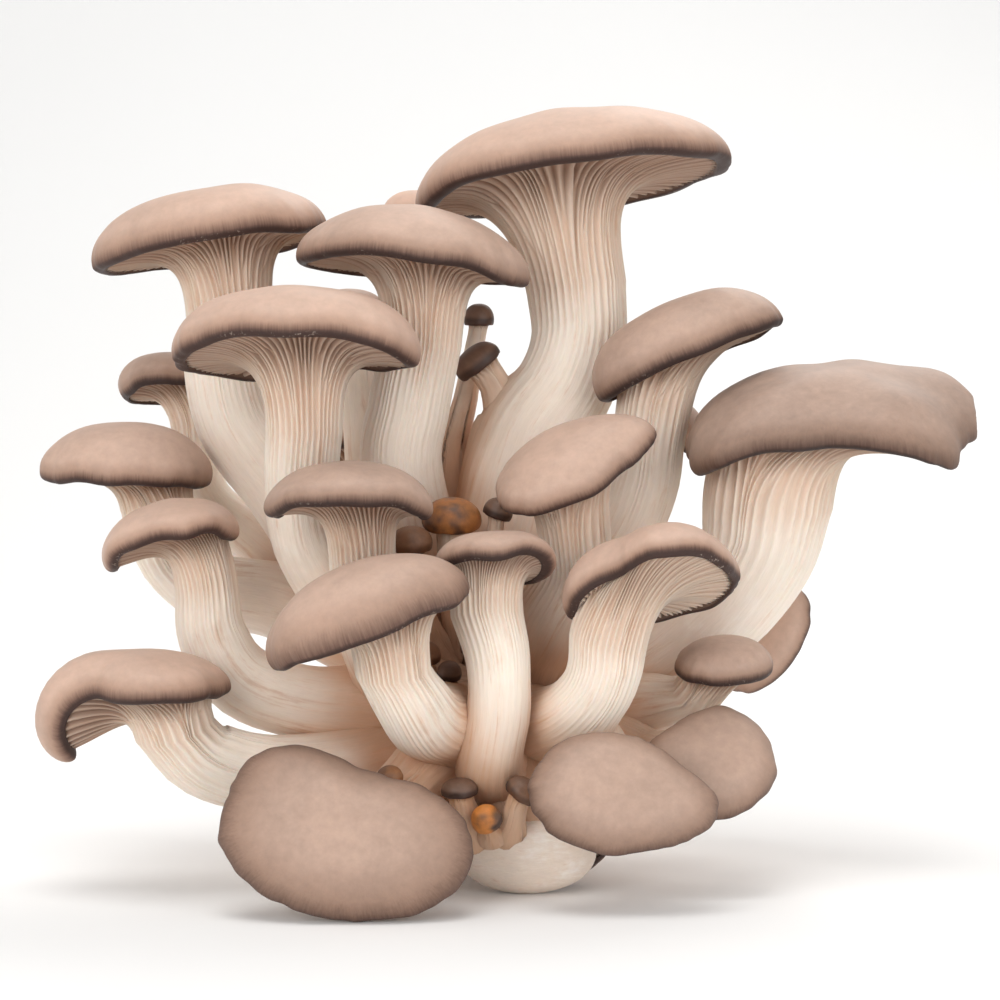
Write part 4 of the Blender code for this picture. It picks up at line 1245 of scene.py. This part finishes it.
@dataclass(frozen=True)
class Flesh:
    """Cream flesh: pale blades, furrows of painted shade, fibrous stems, painted warm light in gaps and shade
    in recesses.
    """

    blade: Triple = (0.91, 0.82, 0.72)
    # Painted shade: the tan laid in the gill furrows and at the top of the stem under the cap
    furrow_shade: Triple = (0.60, 0.385, 0.26)
    under: Triple = (0.20, 0.112, 0.074)
    stem: Triple = (0.87, 0.74, 0.635)
    cotton: Triple = (0.92, 0.845, 0.775)
    fibre: Triple = (0.66, 0.46, 0.345)
    # Painted warm light in the gaps between stems, and painted shade in the deepest recesses
    gap: Triple = (0.56, 0.27, 0.12)
    recess_shade: Triple = (0.16, 0.082, 0.055)
    roughness: float = 0.6
    relief: float = 0.0004

    def material(self) -> bpy.types.Material:
        """The flesh's material, read from furrow, down, comb, crevice and fibre.

        The colour goes from blade to stem down the flesh. Over it lie cotton and fibres in streaks,
        painted shade in the furrows and at the top of the stem under the cap, the shaded hollow under
        the cap with a fine line for each blade, painted warm light in the gaps where neighbours are near,
        and painted shade in the deepest recesses.

        Returns:
            The material.
        """
        graph = ShaderGraph("flesh")
        furrow_shade, down, crevice = (graph.attribute(name) for name in ("furrow_shade", "down", "crevice"))
        fibre, place = graph.vector("fibre"), graph.place()
        cosine, sine, under = graph.parts(graph.vector("comb"))
        streak = graph.noise(fibre, 0.8, 5.0, 0.68) - 0.5
        fine = graph.noise(fibre, 4.0, 3.0, 0.6) - 0.5
        cloud = graph.noise(place, 55.0, 5.0, 0.62) - 0.5
        lines = (sine * sine - cosine * cosine) * 0.5 + 0.5
        # above: where painted shade falls on the top of the stem, just under the cap
        above = 1.0 - (down + 0.1 * streak).between(-0.12, 0.12)
        closeness = crevice + 0.25 * streak
        colour = graph.layered(
            self.blade,
            (down.between(0.05, 0.6), self.stem),
            ((cloud + 0.4 * streak).between(0.04, 0.26) * down.between(0.1, 0.6), self.cotton),
            ((streak - 0.5 * cloud).between(0.03, 0.28) * 0.8, self.fibre),
            # Painted shade in the gill furrows
            (furrow_shade * (0.4 + 0.4 * under), self.furrow_shade),
            # Painted shade at the top of the stem under the cap
            (above * 0.42, self.furrow_shade),
            (under * (0.6 + 0.35 * lines), self.under),
            # Painted warm light where neighbours are near, and painted shade in the deepest recesses
            (closeness.between(0.30, 0.85) * 0.7, self.gap),
            (closeness.between(0.88, 1.08) * 0.75, self.recess_shade))
        height = streak * 0.7 + fine * 0.5 - lines * under * 0.8
        return graph.finish(
            Base_Color=graph.shade(colour, 1.0 + 0.2 * streak + 0.16 * fine + 0.14 * cloud),
            Roughness=self.roughness + 0.2 * fine, Normal=graph.bump(height, self.relief, 0.5),
            Subsurface_Weight=0.2, Subsurface_Radius=(1.0, 0.5, 0.3), Subsurface_Scale=0.002,
            Specular_IOR_Level=0.35)


@dataclass(frozen=True)
class StudioFinish:
    """The plain pale floor."""

    colour: Triple = (0.93, 0.93, 0.93)
    roughness: float = 0.85

    def material(self) -> bpy.types.Material:
        """A matte pale floor with a trace of unevenness."""
        graph = ShaderGraph("studio_floor")
        cloud = graph.noise(graph.place(), 3.0, 2.0) - 0.5
        return graph.finish(Base_Color=graph.shade(self.colour, 1.0 + 0.02 * cloud),
                            Roughness=self.roughness, Specular_IOR_Level=0.2)


def mesh_object(name: str, surface: Surface, material: bpy.types.Material) -> bpy.types.Object:
    """A smooth object at the origin from a surface.

    Args:
        name: the object's name.
        surface: its points in mm, faces and values; outward and movable aren't stored.
        material: its only material.

    Returns:
        The object, linked to the scene.
    """
    mesh = bpy.data.meshes.new(name)
    corners = np.concatenate([faces.ravel() for faces in surface.faces])
    sizes = np.concatenate([np.full(len(faces), faces.shape[1]) for faces in surface.faces])
    mesh.vertices.add(len(surface.points))
    mesh.loops.add(len(corners))
    mesh.polygons.add(len(sizes))
    mesh.vertices.foreach_set("co", (surface.points * MM).astype(np.float32).ravel())
    mesh.loops.foreach_set("vertex_index", corners.astype(np.int32))
    mesh.polygons.foreach_set("loop_start", (np.cumsum(sizes) - sizes).astype(np.int32))
    mesh.polygons.foreach_set("loop_total", sizes.astype(np.int32))
    for key, value in surface.values.items():
        if key not in ("outward", "movable"):
            kind, slot = ("FLOAT_VECTOR", "vector") if value.ndim == 2 else ("FLOAT", "value")
            mesh.attributes.new(key, kind, "POINT").data.foreach_set(slot, value.astype(np.float32).ravel())
    mesh.materials.append(material)
    mesh.update(calc_edges=True)
    mesh.validate()
    mesh.shade_smooth()
    made = bpy.data.objects.new(name, mesh)
    bpy.context.scene.collection.objects.link(made)
    return made


@dataclass
class Cluster:
    """The whole cluster: one fine cap for each plain cap, and fine flesh for the plain flesh."""

    mushrooms: tuple[Mushroom, ...] = MUSHROOMS
    pins: tuple[Mushroom, ...] = PINS
    lumps: tuple[Lump, ...] = tuple(Lump(centre, half) for centre, half in BASE_LUMPS)
    low: Array = field(default_factory=lambda: np.array(CAD_BOX[0]) / MM + BOX_MARGIN)
    high: Array = field(default_factory=lambda: np.array(CAD_BOX[1]) / MM - BOX_MARGIN)
    triangles: int = 0

    def __post_init__(self) -> None:
        """Works out every stem's spine once, and gathers all that flesh can meet."""
        self.flesh: dict[str, Union[Spine, Lump]] = {
            one.name: one.spine() for one in self.mushrooms + self.pins}
        self.flesh.update({f"lump_{number}": lump for number, lump in enumerate(self.lumps)})

    def blended(self, surface: Surface, own: str) -> Surface:
        """The surface drawn out towards its neighbours where it meets them.

        With d the distance to each neighbour, a point moves outwards by k * log(1 + sum(exp(-d / k))),
        the offset of a smooth union of two solids, which fades again inside the neighbour. The value
        crevice grows as neighbours come near.

        Args:
            surface: a stem or a lump.
            own: the name of its own spine or lump, which is left out.

        Returns:
            The surface with moved points and the value crevice.
        """
        near = np.zeros(len(surface.points))
        crowd = np.zeros(len(surface.points))
        deepest = np.full(len(surface.points), 1e3)
        for name, other in self.flesh.items():
            if name != own:
                away = other.distance(surface.points)
                near += np.exp(-np.clip(away, -SEAM_BLEND, FAR) / SEAM_BLEND)
                crowd += np.exp(-np.clip(away, 0.0, FAR) / CREVICE_REACH)
                deepest = np.minimum(deepest, away)
        hidden = np.clip(1 + deepest / SEAM_DEPTH, 0.0, 1.0)
        move = SEAM_BLEND * np.log1p(near) * hidden * surface.values["movable"]
        surface.points = surface.points + move[:, None] * surface.values["outward"]
        # crevice: how much painted gap light and recess shade the flesh gets
        surface.values["crevice"] = 1 - np.exp(-CREVICE_GAIN * crowd)
        return surface

    def add(self, name: str, surface: Surface, material: bpy.types.Material, node: str, slot: str) -> None:
        """Makes one piece that stands for a plain solid, held inside the box of the plain solids.

        Args:
            name: the piece's name.
            surface: its shape.
            material: its finish.
            node: the plain solid that it replaces.
            slot: a material slot name; not used.
        """
        surface.points = np.clip(surface.points, self.low, self.high)
        piece = mesh_object(name, surface, material)
        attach(piece, BODY)
        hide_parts(node)
        count = sum(len(faces) * (faces.shape[1] - 2) for faces in surface.faces)
        self.triangles += count
        log.info("%s: %d triangles", name, count)

    def build_caps(self) -> None:
        """Every cap, with the skin of its kind."""
        kinds = ((self.mushrooms, CapSkin(), "cap_skin"), (self.pins, PinSkin(), "pin_skin"))
        for members, skin, slot in kinds:
            material = skin.material()
            for one in members:
                self.add("fine_" + one.name, one.cap_surface(), material, one.name, slot)

    def build_flesh(self) -> None:
        """Every stem with its gills, the pins' stems in one piece, and the base."""
        pieces = {one.name: self.blended(one.flesh_surface(), one.name) for one in self.mushrooms}
        pieces["pins"] = joined(self.blended(one.flesh_surface(), one.name) for one in self.pins)
        base = joined(self.blended(lump.surface(number), f"lump_{number}")
                      for number, lump in enumerate(self.lumps))
        # The base gets less of that painted light and shade
        base.values["crevice"] = BASE_CREVICE * base.values["crevice"]
        pieces["base"] = base
        material = Flesh().material()
        for name, surface in pieces.items():
            self.add("flesh_of_" + name, surface, material, "stems_and_gills", "flesh")


@dataclass
class Studio:
    """The floor, the lights and the camera, in metres."""

    target: Triple = (0.0, 0.0, 0.092)
    elevation: float = 3.0
    distance: float = 0.8
    lens: float = 115.2
    floor_front: float = 2.5
    wall_distance: float = 1.6
    wall_radius: float = 0.8
    wall_height: float = 3.0
    half_width: float = 4.0

    def build_floor(self) -> None:
        """A floor that sweeps up into a wall.

        A flat line, a quarter circle and an upright line, carried from left to right.
        """
        turn = np.linspace(0, math.pi / 2, 24)
        sweep = self.wall_distance - self.wall_radius + self.wall_radius * np.sin(turn)
        depth = np.concatenate([[-self.floor_front], sweep, [self.wall_distance]])
        height = np.concatenate([[0], self.wall_radius * (1 - np.cos(turn)), [self.wall_height]])
        across = np.array([-self.half_width, self.half_width])
        grid = vectors(across, depth[:, None], height[:, None]).reshape(-1, 3)
        faces = 2 * np.arange(len(depth) - 1)[:, None] + np.array([0, 1, 3, 2])
        mesh_object("studio_floor", Surface(grid / MM, [faces]), StudioFinish().material())

    def add_light(self, name: str, place: Triple, size: float, power: float, colour: Triple) -> None:
        """A square soft light that faces the cluster.

        Args:
            name: its name.
            place: where it stands, in metres.
            size: length of its side, in metres.
            power: in watts.
            colour: its tint.
        """
        light = bpy.data.lights.new(name, "AREA")
        light.shape = "SQUARE"
        light.size = size
        light.energy = power
        light.color = colour
        lamp = bpy.data.objects.new(name, light)
        lamp.location = place
        away = np.array(place) - np.array(self.target)
        flat = math.hypot(away[0], away[1])
        lamp.rotation_euler = (math.atan2(flat, away[2]), 0.0, math.atan2(away[0], -away[1]))
        bpy.context.scene.collection.objects.link(lamp)

    def build_lights(self) -> None:
        """Broad lights from the front left and right, and softer ones from above and behind."""
        self.add_light("left_light", (-0.8, -1.35, 0.55), 0.8, 8.6, (1.0, 0.99, 0.97))
        self.add_light("right_light", (0.9, -1.2, 0.4), 0.9, 6.0, (1.0, 0.99, 0.975))
        self.add_light("top_light", (-0.15, -0.3, 1.5), 0.8, 8.5, (1.0, 0.985, 0.96))
        self.add_light("back_light", (0.35, 0.85, 1.1), 0.8, 7.0, (1.0, 0.98, 0.95))
        world = bpy.data.worlds.new("studio_world")
        world.use_nodes = True
        sky = world.node_tree.nodes["Background"]
        sky.inputs["Color"].default_value = (1.0, 1.0, 1.0, 1.0)
        sky.inputs["Strength"].default_value = 0.5
        bpy.context.scene.world = world

    def set_colours(self) -> None:
        """Plain display colours, so that cream stays cream and the floor stays white."""
        bpy.context.scene.view_settings.view_transform = "Standard"

    def build_camera(self) -> None:
        """The camera, in front of the cluster and a little above its middle."""
        tilt = math.radians(self.elevation)
        camera = bpy.data.objects.new("camera", bpy.data.cameras.new("camera"))
        camera.data.lens = self.lens
        camera.location = (self.target[0], self.target[1] - self.distance * math.cos(tilt),
                           self.target[2] + self.distance * math.sin(tilt))
        camera.rotation_euler = (math.pi / 2 - tilt, 0.0, 0.0)
        bpy.context.scene.collection.objects.link(camera)
        bpy.context.scene.camera = camera


def main() -> None:
    """Builds the studio and the cluster."""
    logging.basicConfig(level=logging.INFO, format="%(message)s")
    studio = Studio()
    studio.build_camera()
    studio.build_floor()
    studio.build_lights()
    studio.set_colours()
    cluster = Cluster()
    cluster.build_caps()
    cluster.build_flesh()
    log.info("all pieces: %d triangles", cluster.triangles)


if __name__ == "__main__":
    main()
